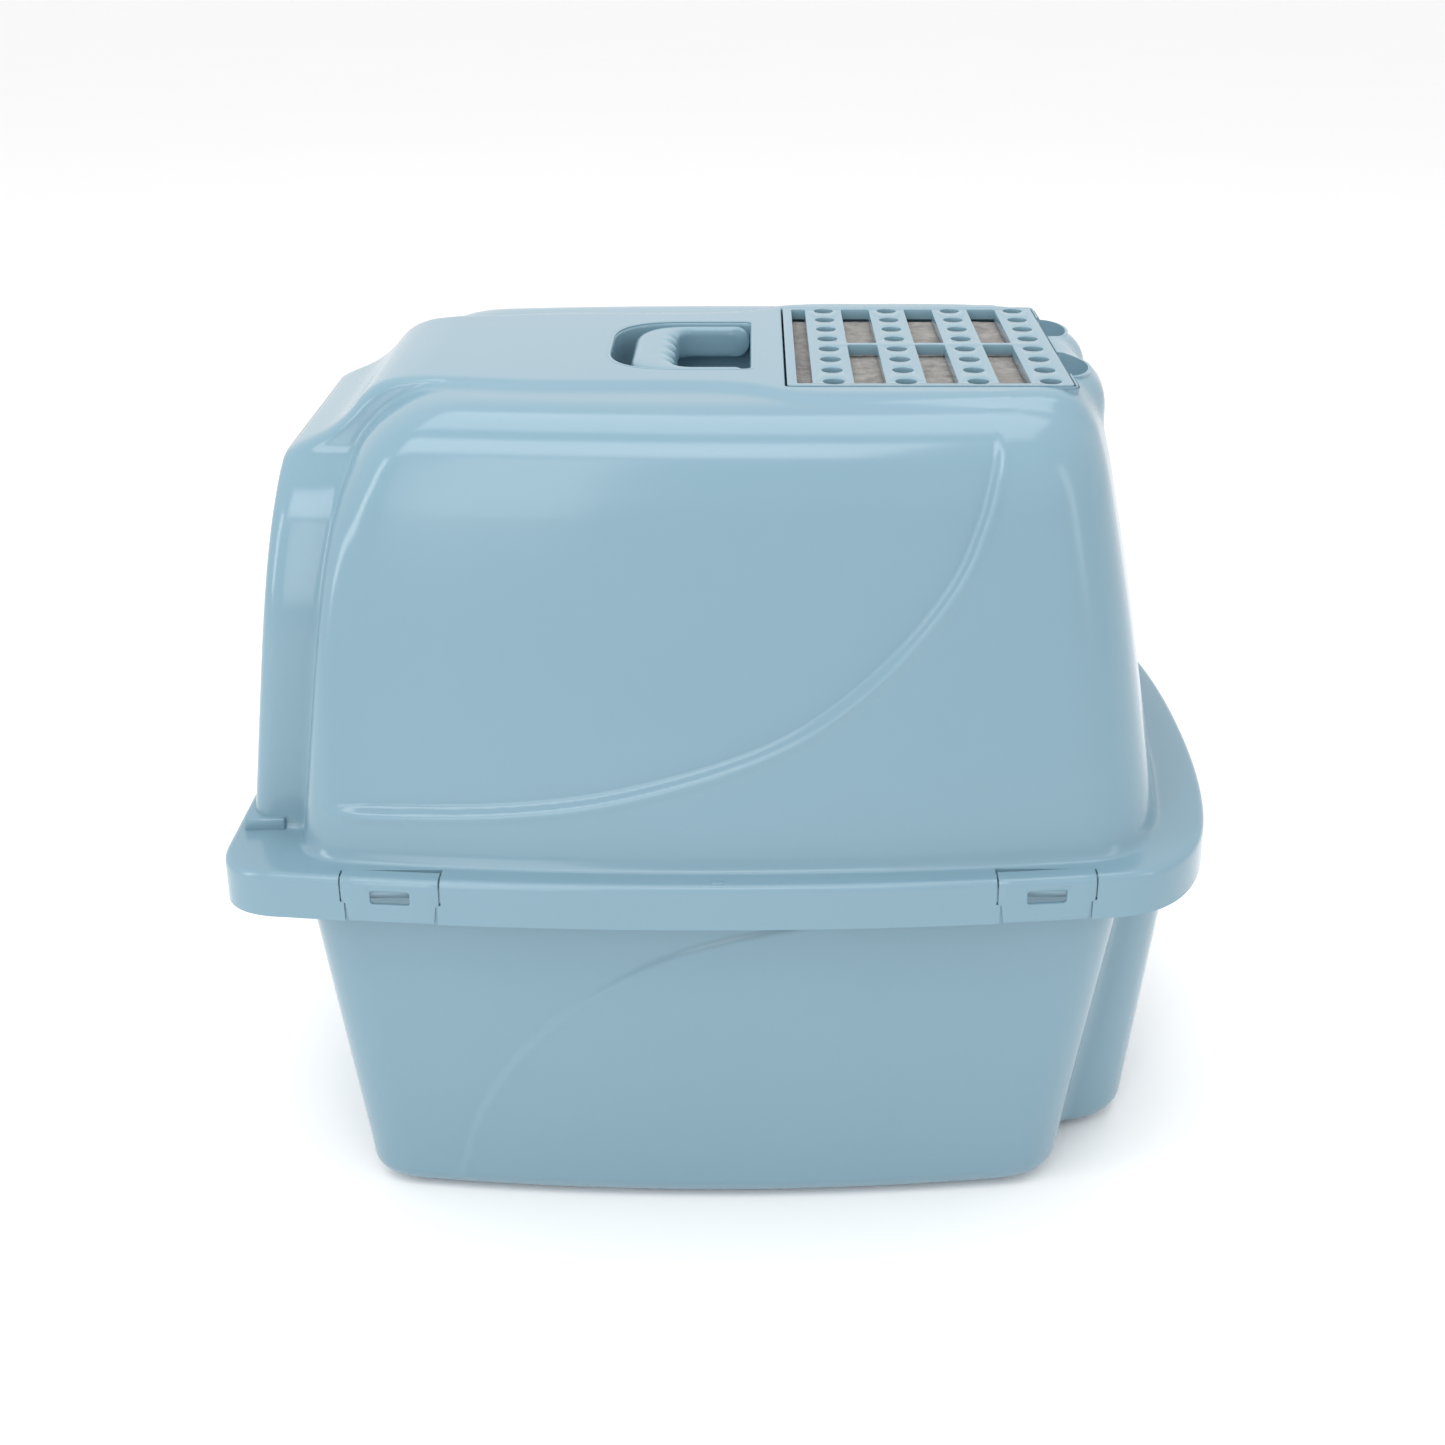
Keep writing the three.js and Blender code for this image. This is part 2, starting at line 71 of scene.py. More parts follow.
# Lengths are in millimetres until a piece is finished. The entry looks along -X, the vent is at +X.
MM = 0.001
HALF_LENGTH = 266.0
HALF_WIDTH = 200.0
SIDES = {"right": -1, "left": 1}
# Edges that turn more than this many degrees stay crisp on the two big mouldings.
SOFT_SHARP = 55

# Hood: the flange and its skirt, the roof, and what is sunk in the roof.
FLANGE_TOP = 235.0
SKIRT_FOOT = 210.4
SKIRT_LEAN = 0.5
RIM_SOFT = 4.0
FOOT_FILLET = 3.2
BODY_HALF = 184.0
BODY_RISE = 228.0
BODY_LEAN = 0.205
SHOULDER = 46.0
SHOULDER_SHARE = 0.9
PORCH_ROUND = 12.0
PORCH_NOOK = 6.0
PORCH_LEAN = 0.131
ROOF_EDGE = 459.3
STRIP_RISE = 3.4
LIP_MIDDLE = 42.0
LIP_WIDE = 21.0
LIP_OUT = 7.0
TUB_PROUD = 0.12
TUB_TAPER = 0.3
TUB_WALL = 2.2
SEAT_X = (27.4, 174.8)
SEAT_HALF = 88.8
SEAT_FLOOR = 448.0
RECESS_X = (-65.5, 9.5)
RECESS_HALF = 52.5
RECESS_FLOOR = 430.0
POCKET_CENTRE = (174.5, 41.0, 464.0)
POCKET_RADII = (13.5, 23.0, 17.0)
HOOD_ARC_DEPTH = 4.4

# The ledge along a moulded arc: where it starts and ends beside the arc, and the crest on its edge.
LEDGE = (-3.8, 0.6)
LEDGE_BAND = 6.5
CREST_SHARE = 0.16
CREST_AT = 1.6
CREST_WIDE = 2.8

# Tray.
TRAY_TOP = 231.5
TRAY_ROUND = 16.0
TRAY_BODY_END = 217.0
BELLY_END = 258.0
FRONT_TAPER = 0.089
REAR_TAPER = 0.13
BELLY_TAPER = 0.075
SIDE_TAPER = 0.165
TRAY_LEDGE = 3.0
TRAY_RIM_WALL = 2.0
TRAY_ARC_DEPTH = 1.7

# Flap, handle, vent lid and clips.
FLAP_AXIS = (-231.5, 396.0)
FLAP_HALF = 92.4
FLAP_WALL = 2.4
HANDLE_AXIS = (1.0, 453.0)
HANDLE_HALF_TALL = 8.4
HANDLE_ARM_Y = 46.0
HANDLE_ARM_HALF = 3.9
GRIP_X = -43.5
GRIP_START = -22.0
GRIP_EXTRA_HALF = 7.4
RIPPLE_DEPTH = 1.5
RIPPLE_PITCH = 15.0
LID_X = (28.4, 174.0)
LID_HALF = 88.0
LID_TOP = 463.0
LID_WALL = 5.8
HOLE_COLUMNS = (52.2, 89.1, 126.0, 162.9)
HOLE_PITCH = 22.8
HOLES_PER_COLUMN = 8
HOLE_RADIUS = 5.6
SLOT_REACH = 83.5
SLOT_MARGIN = 10.3
CLIP_PLACES = {"front": -174.0, "rear": 161.0}
HINGE_BACK = 11.0
CLIP_AXIS_BACK = 7.5
CLIP_AXIS_HEIGHT = 232.0
CLIP_HALF = 25.3
CLIP_SHOULDER_HALF = 23.4
CLIP_FOOT_HALF = 22.3
CLIP_WALL = 2.4
CLIP_GAP = 0.8
CLIP_FOOT_GAP = 0.7

# Height, then the place of the body's front wall, its rear wall, and the porch's face and half width.
BODY_FRONT = (
    (235, -226), (300, -217), (360, -208), (400, -201), (422, -195), (436, -188), (447, -178),
    (454, -167), (458, -155), (459.3, -143),
)
BODY_REAR = (
    (235, 241), (281, 231.5), (343, 220), (402, 207.5), (425, 202), (440, 197), (449, 192),
    (455, 187), (458, 182.5), (459.3, 178),
)
PORCH_FACE = (
    (235, -257), (300, -248.5), (360, -240.6), (405, -235), (422, -233), (426, -231), (430, -223),
    (436, -209.5), (443, -199), (451, -190), (456, -181), (458.4, -171), (459.3, -160),
)
PORCH_HALF = (
    (235, 135), (300, 132), (345, 129), (372, 124), (390, 117), (402, 110), (413, 100), (422, 89),
    (428, 82), (436, 78.5), (447, 76), (459.3, 73),
)
# Half width of the raised strip along the roof.
STRIP_HALF = ((-230, 72), (-157, 74), (-100, 82), (-20, 83), (8, 88), (30, 102), (60, 106), (190, 104))

# The arc moulded on the hood's sides and the one on the tray's sides, as length and height.
HOOD_ARC = (
    (133, 470), (133.5, 457), (133, 441), (125, 408), (112, 378), (85, 344), (53, 316), (23, 298),
    (-17, 283), (-68, 270), (-118, 263.5), (-169, 261), (-215, 260),
)
TRAY_ARC = (
    (90, 203), (38, 197), (0, 188.5), (-31, 177.5), (-61, 160.5), (-90, 137), (-114, 109.5), (-130, 85),
    (-143, 58), (-153, 26), (-158, 5), (-159, -6),
)


# ---- Curves --------------------------------------------------------------------------------------
def ease(low, high, at):
    """Rises smoothly from 0 at low to 1 at high."""
    t = min(max((at - low) / (high - low), 0.0), 1.0)
    return t * t * (3 - 2 * t)


def curve_at(stations, at):
    """Reads a smooth curve that runs through (place, value) stations."""
    places = [p for p, _ in stations]
    at = min(max(at, places[0]), places[-1])
    i = min(max(bisect.bisect_right(places, at) - 1, 0), len(stations) - 2)
    before, here = stations[max(i - 1, 0)], stations[i]
    there, after = stations[i + 1], stations[min(i + 2, len(stations) - 1)]
    span = there[0] - here[0]
    t = (at - here[0]) / span
    leave = (there[1] - before[1]) / (there[0] - before[0]) * span
    arrive = (after[1] - here[1]) / (after[0] - here[0]) * span
    return (
        here[1] * (1 + 2 * t) * (1 - t) ** 2 + leave * t * (1 - t) ** 2
        + there[1] * t * t * (3 - 2 * t) + arrive * t * t * (t - 1)
    )


def round_in(radius, distance):
    """How far a quarter round has come in at a distance from its start."""
    d = min(max(distance, 0.0), radius)
    return radius - math.sqrt(radius * radius - d * d)


def stretch(points, steps):
    """Points along a straight line or a Bezier curve of 3 points, without the first one."""
    for k in range(1, steps + 1):
        t = k / steps
        if len(points) == 2:
            yield points[0].lerp(points[1], t)
        else:
            yield points[0].lerp(points[1], t).lerp(points[1].lerp(points[2], t), t)


def trace(start, *stretches):
    """An outline drawn from stretches, each a list of points that follow on and a step count."""
    outline = [Vector(start)]
    for points, steps in stretches:
        outline += list(stretch([outline[-1]] + [Vector(p) for p in points], steps))
    return outline


def mirrored(half):
    """A closed ring from the half of it that has y above 0, ends on the middle line."""
    return half + [Vector((p.x, -p.y)) for p in reversed(half[1:-1])]


def grown(ring, distance):
    """Moves a closed ring outwards along its normals."""
    count = len(ring)
    moved = []
    for i, p in enumerate(ring):
        along = (ring[(i + 1) % count] - ring[i - 1]).normalized()
        moved.append(Vector((p.x - along.y * distance, p.y + along.x * distance)))
    return moved


def distance_to(path, x, z):
    """Signed distance from a path, above 0 on its left when walking along it."""
    best = (math.inf, 1.0)
    point = Vector((x, z))
    for a, b in zip(path, path[1:]):
        along = b - a
        t = min(max((point - a).dot(along) / along.length_squared, 0.0), 1.0)
        away = point - (a + along * t)
        if away.length < best[0]:
            best = (away.length, along.x * away.y - along.y * away.x)
    return math.copysign(best[0], best[1])


def rounded(path):
    """A finer path through the same points."""
    xs = [(i, p[0]) for i, p in enumerate(path)]
    zs = [(i, p[1]) for i, p in enumerate(path)]
    steps = 6
    count = (len(path) - 1) * steps
    return [Vector((curve_at(xs, k / steps), curve_at(zs, k / steps))) for k in range(count + 1)]


# ---- Making meshes -------------------------------------------------------------------------------
def loft(bm, rings):
    """Skins closed rings of equal length and gives back the edges of the first and of the last."""
    step = bm.verts.layers.int.get("step") or bm.verts.layers.int.new("step")
    start = bmesh.ops.create_circle(bm, cap_ends=False, segments=len(rings[0]), radius=1.0)["verts"]
    for i, (vert, place) in enumerate(zip(start, rings[0])):
        vert[step] = i
        vert.co = place
    first = list({e for v in start for e in v.link_edges})
    edges = first
    for ring in rings[1:]:
        made = bmesh.ops.extrude_edge_only(bm, edges=edges)["geom"]
        for vert in (g for g in made if isinstance(g, bmesh.types.BMVert)):
            vert.co = ring[vert[step]]
        fresh = {g for g in made if isinstance(g, bmesh.types.BMVert)}
        edges = [
            g for g in made
            if isinstance(g, bmesh.types.BMEdge) and g.verts[0] in fresh and g.verts[1] in fresh
        ]
    return first, edges


def shut_loft(rings):
    """A solid skinned through closed rings and shut at both ends."""
    bm = bmesh.new()
    for end in loft(bm, rings):
        bmesh.ops.edgeloop_fill(bm, edges=end)
    bmesh.ops.recalc_face_normals(bm, faces=bm.faces[:])
    return bm


def raised(ring, height):
    """A ring of flat points at a height."""
    return [Vector((p.x, p.y, height)) for p in ring]


def clean(bm, merge=0.005):
    """Welds doubles and turns every face outwards."""
    bmesh.ops.remove_doubles(bm, verts=bm.verts[:], dist=merge)
    bmesh.ops.recalc_face_normals(bm, faces=bm.faces[:])


def worked(bm, prepare):
    """Runs a modifier on a mesh and gives the result back as a new mesh."""
    mesh = bpy.data.meshes.new("work")
    bm.to_mesh(mesh)
    bm.free()
    obj = bpy.data.objects.new("work", mesh)
    bpy.context.scene.collection.objects.link(obj)
    spare = prepare(obj)
    bpy.context.view_layer.update()
    done = bpy.data.meshes.new_from_object(obj.evaluated_get(bpy.context.evaluated_depsgraph_get()))
    result = bmesh.new()
    result.from_mesh(done)
    for used in [obj] + ([spare] if spare else []):
        old = used.data
        bpy.data.objects.remove(used)
        bpy.data.meshes.remove(old)
    bpy.data.meshes.remove(done)
    return result


def thickened(bm, wall, offset=-1.0):
    """Gives a skin a wall on its inner side."""
    def prepare(obj):
        solid = obj.modifiers.new("wall", "SOLIDIFY")
        solid.thickness = wall
        solid.offset = offset
    return worked(bm, prepare)


def carved(bm, cutter):
    """Cuts the cutter's solids out of a solid."""
    def prepare(obj):
        mesh = bpy.data.meshes.new("cutter")
        cutter.to_mesh(mesh)
        cutter.free()
        tool = bpy.data.objects.new("cutter", mesh)
        bpy.context.scene.collection.objects.link(tool)
        cut = obj.modifiers.new("cut", "BOOLEAN")
        cut.operation = "DIFFERENCE"
        cut.solver = "EXACT"
        cut.object = tool
        return tool
    return worked(bm, prepare)


def joined(*parts):
    """Puts several meshes into one."""
    whole = bmesh.new()
    for part in parts:
        mesh = bpy.data.meshes.new("part")
        part.to_mesh(mesh)
        part.free()
        whole.from_mesh(mesh)
        bpy.data.meshes.remove(mesh)
    return whole


def sharp_edges(bm, degrees=35):
    """Edges whose two faces meet at more than an angle."""
    return [e for e in bm.edges if e.is_manifold and e.calc_face_angle(0) > math.radians(degrees)]


def soften(bm, width, segments=2, degrees=35):
    """Rounds every sharp edge."""
    bmesh.ops.bevel(
        bm, geom=sharp_edges(bm, degrees), offset=width, offset_type="OFFSET", segments=segments,
        profile=0.5, affect="EDGES", material=-1, clamp_overlap=True,
    )


def block(x, y, z, soft=0.0):
    """A box between three pairs of limits."""
    bm = bmesh.new()
    size = Vector((x[1] - x[0], y[1] - y[0], z[1] - z[0]))
    middle = Vector((x[0] + x[1], y[0] + y[1], z[0] + z[1])) / 2
    place = Matrix.Translation(middle) @ Matrix.Diagonal(size.to_4d())
    bmesh.ops.create_cube(bm, size=1.0, matrix=place)
    if soft:
        soften(bm, soft)
    return bm


def rod(radius, start, end, segments=32, soft=0.0):
    """A round bar between two points."""
    bm = bmesh.new()
    start, end = Vector(start), Vector(end)
    along = end - start
    turn = along.to_track_quat("Z", "Y").to_matrix().to_4x4()
    place = Matrix.Translation((start + end) / 2) @ turn
    bmesh.ops.create_cone(
        bm, cap_ends=True, segments=segments, radius1=radius, radius2=radius, depth=along.length,
        matrix=place,
    )
    if soft:
        soften(bm, soft, degrees=60)
    return bm


def plate(loops, thick, soft, folds=()):
    """A flat plate from closed outlines, the later ones holes, with rounded edges and fold lines."""
    bm = bmesh.new()
    for loop in loops:
        verts = [bm.verts.new((p[0], p[1], 0)) for p in loop]
        for a, b in zip(verts, verts[1:] + verts[:1]):
            bm.edges.new((a, b))
    bmesh.ops.triangle_fill(bm, use_beauty=True, use_dissolve=False, edges=bm.edges[:])
    bmesh.ops.recalc_face_normals(bm, faces=bm.faces[:])
    if bm.faces[:][0].normal.z < 0:
        bmesh.ops.reverse_faces(bm, faces=bm.faces[:])
    for place, normal in folds:
        everything = bm.verts[:] + bm.edges[:] + bm.faces[:]
        bmesh.ops.bisect_plane(bm, geom=everything, plane_co=place, plane_no=normal)
    made = bmesh.ops.extrude_face_region(bm, geom=bm.faces[:], use_keep_orig=True)["geom"]
    under = [g for g in made if isinstance(g, bmesh.types.BMVert)]
    bmesh.ops.translate(bm, verts=under, vec=(0, 0, -thick))
    bmesh.ops.recalc_face_normals(bm, faces=bm.faces[:])
    if soft:
        soften(bm, soft, degrees=50)
    return bm


def rounded_box(x, y, radius, steps=5):
    """Outline of a rectangle with round corners."""
    outline = []
    corners = ((x[1], y[1], 0), (x[0], y[1], 90), (x[0], y[0], 180), (x[1], y[0], 270))
    for cx, cy, turn in corners:
        mx = cx - math.copysign(radius, cx - sum(x) / 2)
        my = cy - math.copysign(radius, cy - sum(y) / 2)
        for k in range(steps + 1):
            a = math.radians(turn + 90 * k / steps)
            outline.append((mx + radius * math.cos(a), my + radius * math.sin(a)))
    return outline


def circle(x, y, radius, steps=28):
    """Outline of a round hole."""
    return [
        (x + radius * math.cos(math.tau * k / steps), y + radius * math.sin(math.tau * k / steps))
        for k in range(steps)
    ]


def finish_piece(name, bm, material, body, stands_for, sharp=32):
    """Turns a mesh in millimetres into a finished object that rides on a body."""
    bmesh.ops.scale(bm, vec=(MM, MM, MM), verts=bm.verts[:])
    step = bm.verts.layers.int.get("step")
    if step:
        bm.verts.layers.int.remove(step)
    mesh = bpy.data.meshes.new(name)
    bm.to_mesh(mesh)
    bm.free()
    mesh.shade_smooth()
    mesh.set_sharp_from_angle(angle=math.radians(sharp))
    mesh.materials.clear()
    mesh.materials.append(material)
    obj = bpy.data.objects.new(name, mesh)
    bpy.context.scene.collection.objects.link(obj)
    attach(obj, body)
    if stands_for:
        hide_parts(*stands_for)
    return obj


# ---- Materials -----------------------------------------------------------------------------------
def link(tree, source, target):
    tree.links.new(source, target)


def node(tree, kind, **values):
    """A shader node with some of its sockets or settings filled in."""
    made = tree.nodes.new(kind)
    for key, value in values.items():
        if hasattr(made, key):
            setattr(made, key, value)
        else:
            made.inputs[key.replace("_", " ")].default_value = value
    return made


def moulded_skin():
    """Group: the faint flow marks, wear and micro ripple of an injection moulded skin."""
    if "Moulded skin" in bpy.data.node_groups:
        return bpy.data.node_groups["Moulded skin"]
    tree = bpy.data.node_groups.new("Moulded skin", "ShaderNodeTree")
    face = tree.interface
    face.new_socket("Colour", in_out="INPUT", socket_type="NodeSocketColor")
    for name, value in (("Mottle", 0.03), ("Gloss", 0.2), ("Gloss spread", 0.05), ("Ripple", 0.3)):
        face.new_socket(name, in_out="INPUT", socket_type="NodeSocketFloat").default_value = value
    face.new_socket("Colour", in_out="OUTPUT", socket_type="NodeSocketColor")
    face.new_socket("Roughness", in_out="OUTPUT", socket_type="NodeSocketFloat")
    face.new_socket("Height", in_out="OUTPUT", socket_type="NodeSocketFloat")
    entry = tree.nodes.new("NodeGroupInput")
    leave = tree.nodes.new("NodeGroupOutput")
    place = tree.nodes.new("ShaderNodeTexCoord")
    flow = node(tree, "ShaderNodeTexNoise", Scale=9.0, Detail=4.0, Roughness=0.55)
    fine = node(tree, "ShaderNodeTexNoise", Scale=420.0, Detail=2.0)
    peel = node(tree, "ShaderNodeTexNoise", Scale=26.0, Detail=2.0)
    for texture in (flow, fine, peel):
        link(tree, place.outputs["Object"], texture.inputs["Vector"])
    shift = node(tree, "ShaderNodeMath", operation="SUBTRACT")
    shift.inputs[1].default_value = 0.5
    link(tree, flow.outputs["Fac"], shift.inputs[0])
    amount = node(tree, "ShaderNodeMath", operation="MULTIPLY")
    link(tree, shift.outputs[0], amount.inputs[0])
    link(tree, entry.outputs["Mottle"], amount.inputs[1])
    value = node(tree, "ShaderNodeMath", operation="ADD")
    value.inputs[1].default_value = 1.0
    link(tree, amount.outputs[0], value.inputs[0])
    tint = tree.nodes.new("ShaderNodeHueSaturation")
    link(tree, value.outputs[0], tint.inputs["Value"])
    link(tree, entry.outputs["Colour"], tint.inputs["Color"])
    link(tree, tint.outputs["Color"], leave.inputs["Colour"])
    spread = node(tree, "ShaderNodeMath", operation="MULTIPLY_ADD")
    link(tree, fine.outputs["Fac"], spread.inputs[0])
    link(tree, entry.outputs["Gloss spread"], spread.inputs[1])
    link(tree, entry.outputs["Gloss"], spread.inputs[2])
    link(tree, spread.outputs[0], leave.inputs["Roughness"])
    rough = node(tree, "ShaderNodeMath", operation="MULTIPLY")
    link(tree, peel.outputs["Fac"], rough.inputs[0])
    link(tree, entry.outputs["Ripple"], rough.inputs[1])
    link(tree, rough.outputs[0], leave.inputs["Height"])
    return tree


def plastic(name, colour, gloss, ripple, mottle=0.05, **settings):
    """A glossy moulded plastic."""
    if name in bpy.data.materials:
        return bpy.data.materials[name]
    material = bpy.data.materials.new(name)
    material.use_nodes = True
    tree = material.node_tree
    shader = tree.nodes["Principled BSDF"]
    skin = tree.nodes.new("ShaderNodeGroup")
    skin.node_tree = moulded_skin()
    skin.inputs["Colour"].default_value = colour
    skin.inputs["Mottle"].default_value = mottle
    skin.inputs["Gloss"].default_value = gloss
    skin.inputs["Gloss spread"].default_value = 0.04
    skin.inputs["Ripple"].default_value = ripple
    bump = node(tree, "ShaderNodeBump", Strength=0.35, Distance=0.0006)
    link(tree, skin.outputs["Colour"], shader.inputs["Base Color"])
    link(tree, skin.outputs["Roughness"], shader.inputs["Roughness"])
    link(tree, skin.outputs["Height"], bump.inputs["Height"])
    link(tree, bump.outputs["Normal"], shader.inputs["Normal"])
    for key, value in settings.items():
        shader.inputs[key.replace("_", " ")].default_value = value
    material.diffuse_color = colour
    return material


def blue_plastic():
    colours = bpy.context.scene.litter_box
    return plastic("blue plastic", tuple(colours.shell_colour) + (1.0,), colours.shell_gloss, 0.5, IOR=1.5)


def smoke_plastic():
    colours = bpy.context.scene.litter_box
    return plastic(
        "smoke plastic", tuple(colours.flap_colour) + (1.0,), 0.08, 0.4, mottle=0.02,
        Transmission_Weight=0.7, IOR=1.45,
    )


def filter_felt():
    """Needled grey felt: tangled pale and dark fibres."""
    if "filter felt" in bpy.data.materials:
        return bpy.data.materials["filter felt"]
    material = bpy.data.materials.new("filter felt")
    material.use_nodes = True
    tree = material.node_tree
    shader = tree.nodes["Principled BSDF"]
    shader.inputs["Roughness"].default_value = 0.95
    shader.inputs["Sheen Weight"].default_value = 0.25
    place = tree.nodes.new("ShaderNodeTexCoord")
    fibres = node(tree, "ShaderNodeTexNoise", Scale=700.0, Detail=5.0, Roughness=0.7, Distortion=1.6)
    clumps = node(tree, "ShaderNodeTexNoise", Scale=120.0, Detail=3.0, Roughness=0.6)
    for texture in (fibres, clumps):
        link(tree, place.outputs["Object"], texture.inputs["Vector"])
    both = node(tree, "ShaderNodeMath", operation="MULTIPLY_ADD")
    both.inputs[1].default_value = 0.45
    link(tree, clumps.outputs["Fac"], both.inputs[0])
    half = node(tree, "ShaderNodeMath", operation="MULTIPLY")
    half.inputs[1].default_value = 0.55
    link(tree, fibres.outputs["Fac"], half.inputs[0])
    link(tree, half.outputs[0], both.inputs[2])
    ramp = tree.nodes.new("ShaderNodeValToRGB")
    base = bpy.context.scene.litter_box.felt_colour
    for spot, place_at, factor in zip((0, 1), (0.36, 0.64), (0.45, 1.45)):
        ramp.color_ramp.elements[spot].position = place_at
        ramp.color_ramp.elements[spot].color = tuple(c * factor for c in base) + (1.0,)
    link(tree, both.outputs[0], ramp.inputs["Fac"])
    link(tree, ramp.outputs["Color"], shader.inputs["Base Color"])
    bump = node(tree, "ShaderNodeBump", Strength=0.9, Distance=0.0012)
    link(tree, both.outputs[0], bump.inputs["Height"])
    link(tree, bump.outputs["Normal"], shader.inputs["Normal"])
    return material


def floor_paint():
    """Matt white studio floor."""
    material = bpy.data.materials.new("studio floor")
    material.use_nodes = True
    tree = material.node_tree
    shader = tree.nodes["Principled BSDF"]
    place = tree.nodes.new("ShaderNodeTexCoord")
    grain = node(tree, "ShaderNodeTexNoise", Scale=3.0, Detail=2.0)
    link(tree, place.outputs["Object"], grain.inputs["Vector"])
    ramp = tree.nodes.new("ShaderNodeValToRGB")
    ramp.color_ramp.elements[0].color = (0.955, 0.955, 0.955, 1)
    ramp.color_ramp.elements[1].color = (0.97, 0.97, 0.97, 1)
    link(tree, grain.outputs["Fac"], ramp.inputs["Fac"])
    link(tree, ramp.outputs["Color"], shader.inputs["Base Color"])
    shader.inputs["Roughness"].default_value = 0.9
    shader.inputs["Specular IOR Level"].default_value = 0.1
    return material


# ---- Hood ----------------------------------------------------------------------------------------
FRONT_STEPS, CORNER_STEPS, FLANK_STEPS, NOOK_STEPS, CHEEK_STEPS = 10, 6, 6, 4, 14
SIDE_STEPS, TAIL_STEPS, REAR_STEPS = 84, 16, 18


def body_half_width(z):
    """Half width of the hood's body at the middle of its sides."""
    lean = BODY_HALF * (1 - BODY_LEAN * (z - FLANGE_TOP) / BODY_RISE)
    return lean - SHOULDER_SHARE * round_in(SHOULDER, z - (ROOF_EDGE - SHOULDER))


def hood_half(z):
    """Half outline of the hood with its porch at a height."""
    front = curve_at(BODY_FRONT, z)
    rear = curve_at(BODY_REAR, z)
    narrow = body_half_width(z) / BODY_HALF
    face = curve_at(PORCH_FACE, z)
    wide = curve_at(PORCH_HALF, z)
    soft = min(PORCH_ROUND, (front - face) * 0.45)
    nook = min(PORCH_NOOK, (front - face) * 0.3)

    def body(x, y):
        reach = front / BODY_FRONT[0][1] if x < 0 else rear / BODY_REAR[0][1]
        return (x * reach, y * narrow)

    return trace(
        (face, 0),
        (((face, wide - soft),), FRONT_STEPS),
        (((face, wide), (face + soft, wide)), CORNER_STEPS),
        (((front - nook, wide + 0.4),), FLANK_STEPS),
        (((front, wide + 0.4), (front, wide + nook)), NOOK_STEPS),
        ((body(-228, 168), body(-198, 172.5)), CHEEK_STEPS),
        ((body(-8, 196), body(185, 171)), SIDE_STEPS),
        ((body(222, 164), body(229, 120)), TAIL_STEPS),
        ((body(240, 60), body(241, 0)), REAR_STEPS),
    )


def rim_half():
    """Half outline of the rim, in step with the hood's."""
    return trace(
        (-HALF_LENGTH, 0),
        (((-HALF_LENGTH, HALF_WIDTH - 48),), FRONT_STEPS + CORNER_STEPS),
        (
            ((-HALF_LENGTH, HALF_WIDTH - 15), (-230, HALF_WIDTH - 13)),
            FLANK_STEPS + NOOK_STEPS + CHEEK_STEPS,
        ),
        (((-8, HALF_WIDTH + 13), (200, HALF_WIDTH - 13)), SIDE_STEPS),
        (((243, HALF_WIDTH - 20), (256, HALF_WIDTH - 80)), TAIL_STEPS),
        (((HALF_LENGTH, 72), (HALF_LENGTH, 0)), REAR_STEPS),
    )


def rim_half_width(x):
    """Half width of the rim at a place along it."""
    side = rim_half()
    for a, b in zip(side, side[1:]):
        if a.x <= x < b.x:
            return a.y + (b.y - a.y) * (x - a.x) / (b.x - a.x)
    raise ValueError("no rim there")


def flange_rings():
    """Rings up the skirt, round the rim's edge, across the flange and into the hood's foot."""
    rim = mirrored(rim_half())
    foot = mirrored(hood_half(FLANGE_TOP))
    skirt_height = FLANGE_TOP - RIM_SOFT - SKIRT_FOOT
    rings = [
        raised(grown(rim, -SKIRT_LEAN * k / 4), SKIRT_FOOT + skirt_height * k / 4)
        for k in range(5)
    ]
    for k in range(1, 6):
        a = math.pi / 2 * k / 5
        inset = SKIRT_LEAN + RIM_SOFT * (1 - math.cos(a))
        rings.append(raised(grown(rim, -inset), FLANGE_TOP - RIM_SOFT * (1 - math.sin(a))))
    edge = rings[-1]
    near = grown(foot, FOOT_FILLET)
    for k in range(1, 5):
        rings.append([
            Vector((*Vector((a.x, a.y)).lerp(b, k / 4), FLANGE_TOP))
            for a, b in zip(edge, near)
        ])
    for k in range(1, 4):
        a = math.pi / 2 * k / 4
        rings.append(raised(
            grown(foot, FOOT_FILLET * (1 - math.sin(a))), FLANGE_TOP + FOOT_FILLET * (1 - math.cos(a)),
        ))
    return rings


def wall_heights(count=70):
    """Heights of the hood's rings, closer together towards the shoulder."""
    low = FLANGE_TOP + FOOT_FILLET
    return [low + (ROOF_EDGE - low) * (1 - (1 - k / count) ** 1.5) for k in range(count + 1)]


def roof_rings(top, fine=14, coarse=4, fine_share=0.45):
    """Rings that close the roof, down to a line along its middle, fine where the strip rises."""
    shares = [fine_share * k / fine for k in range(1, fine + 1)]
    shares += [fine_share + (1 - fine_share) * k / coarse for k in range(1, coarse + 1)]
    return [[Vector((p.x * (1 - 0.3 * t), p.y * (1 - t), p.z)) for p in top] for t in shares]


def raise_strip(bm):
    """Lifts the strip along the roof and rounds the two finger lips out at its rear end."""
    for vert in bm.verts:
        x, y, z = vert.co
        if z < 425:
            continue
        high = ease(432, 457, z)
        half = curve_at(STRIP_HALF, x)
        strip = 1 - ease(half - 7, half + 6, abs(y))
        vert.co.z += STRIP_RISE * strip * high
        if x > 150:
            lips = math.exp(-(((abs(y) - LIP_MIDDLE) / LIP_WIDE) ** 4))
            vert.co.x += LIP_OUT * lips * ease(428, 452, z) * ease(165, 185, x)


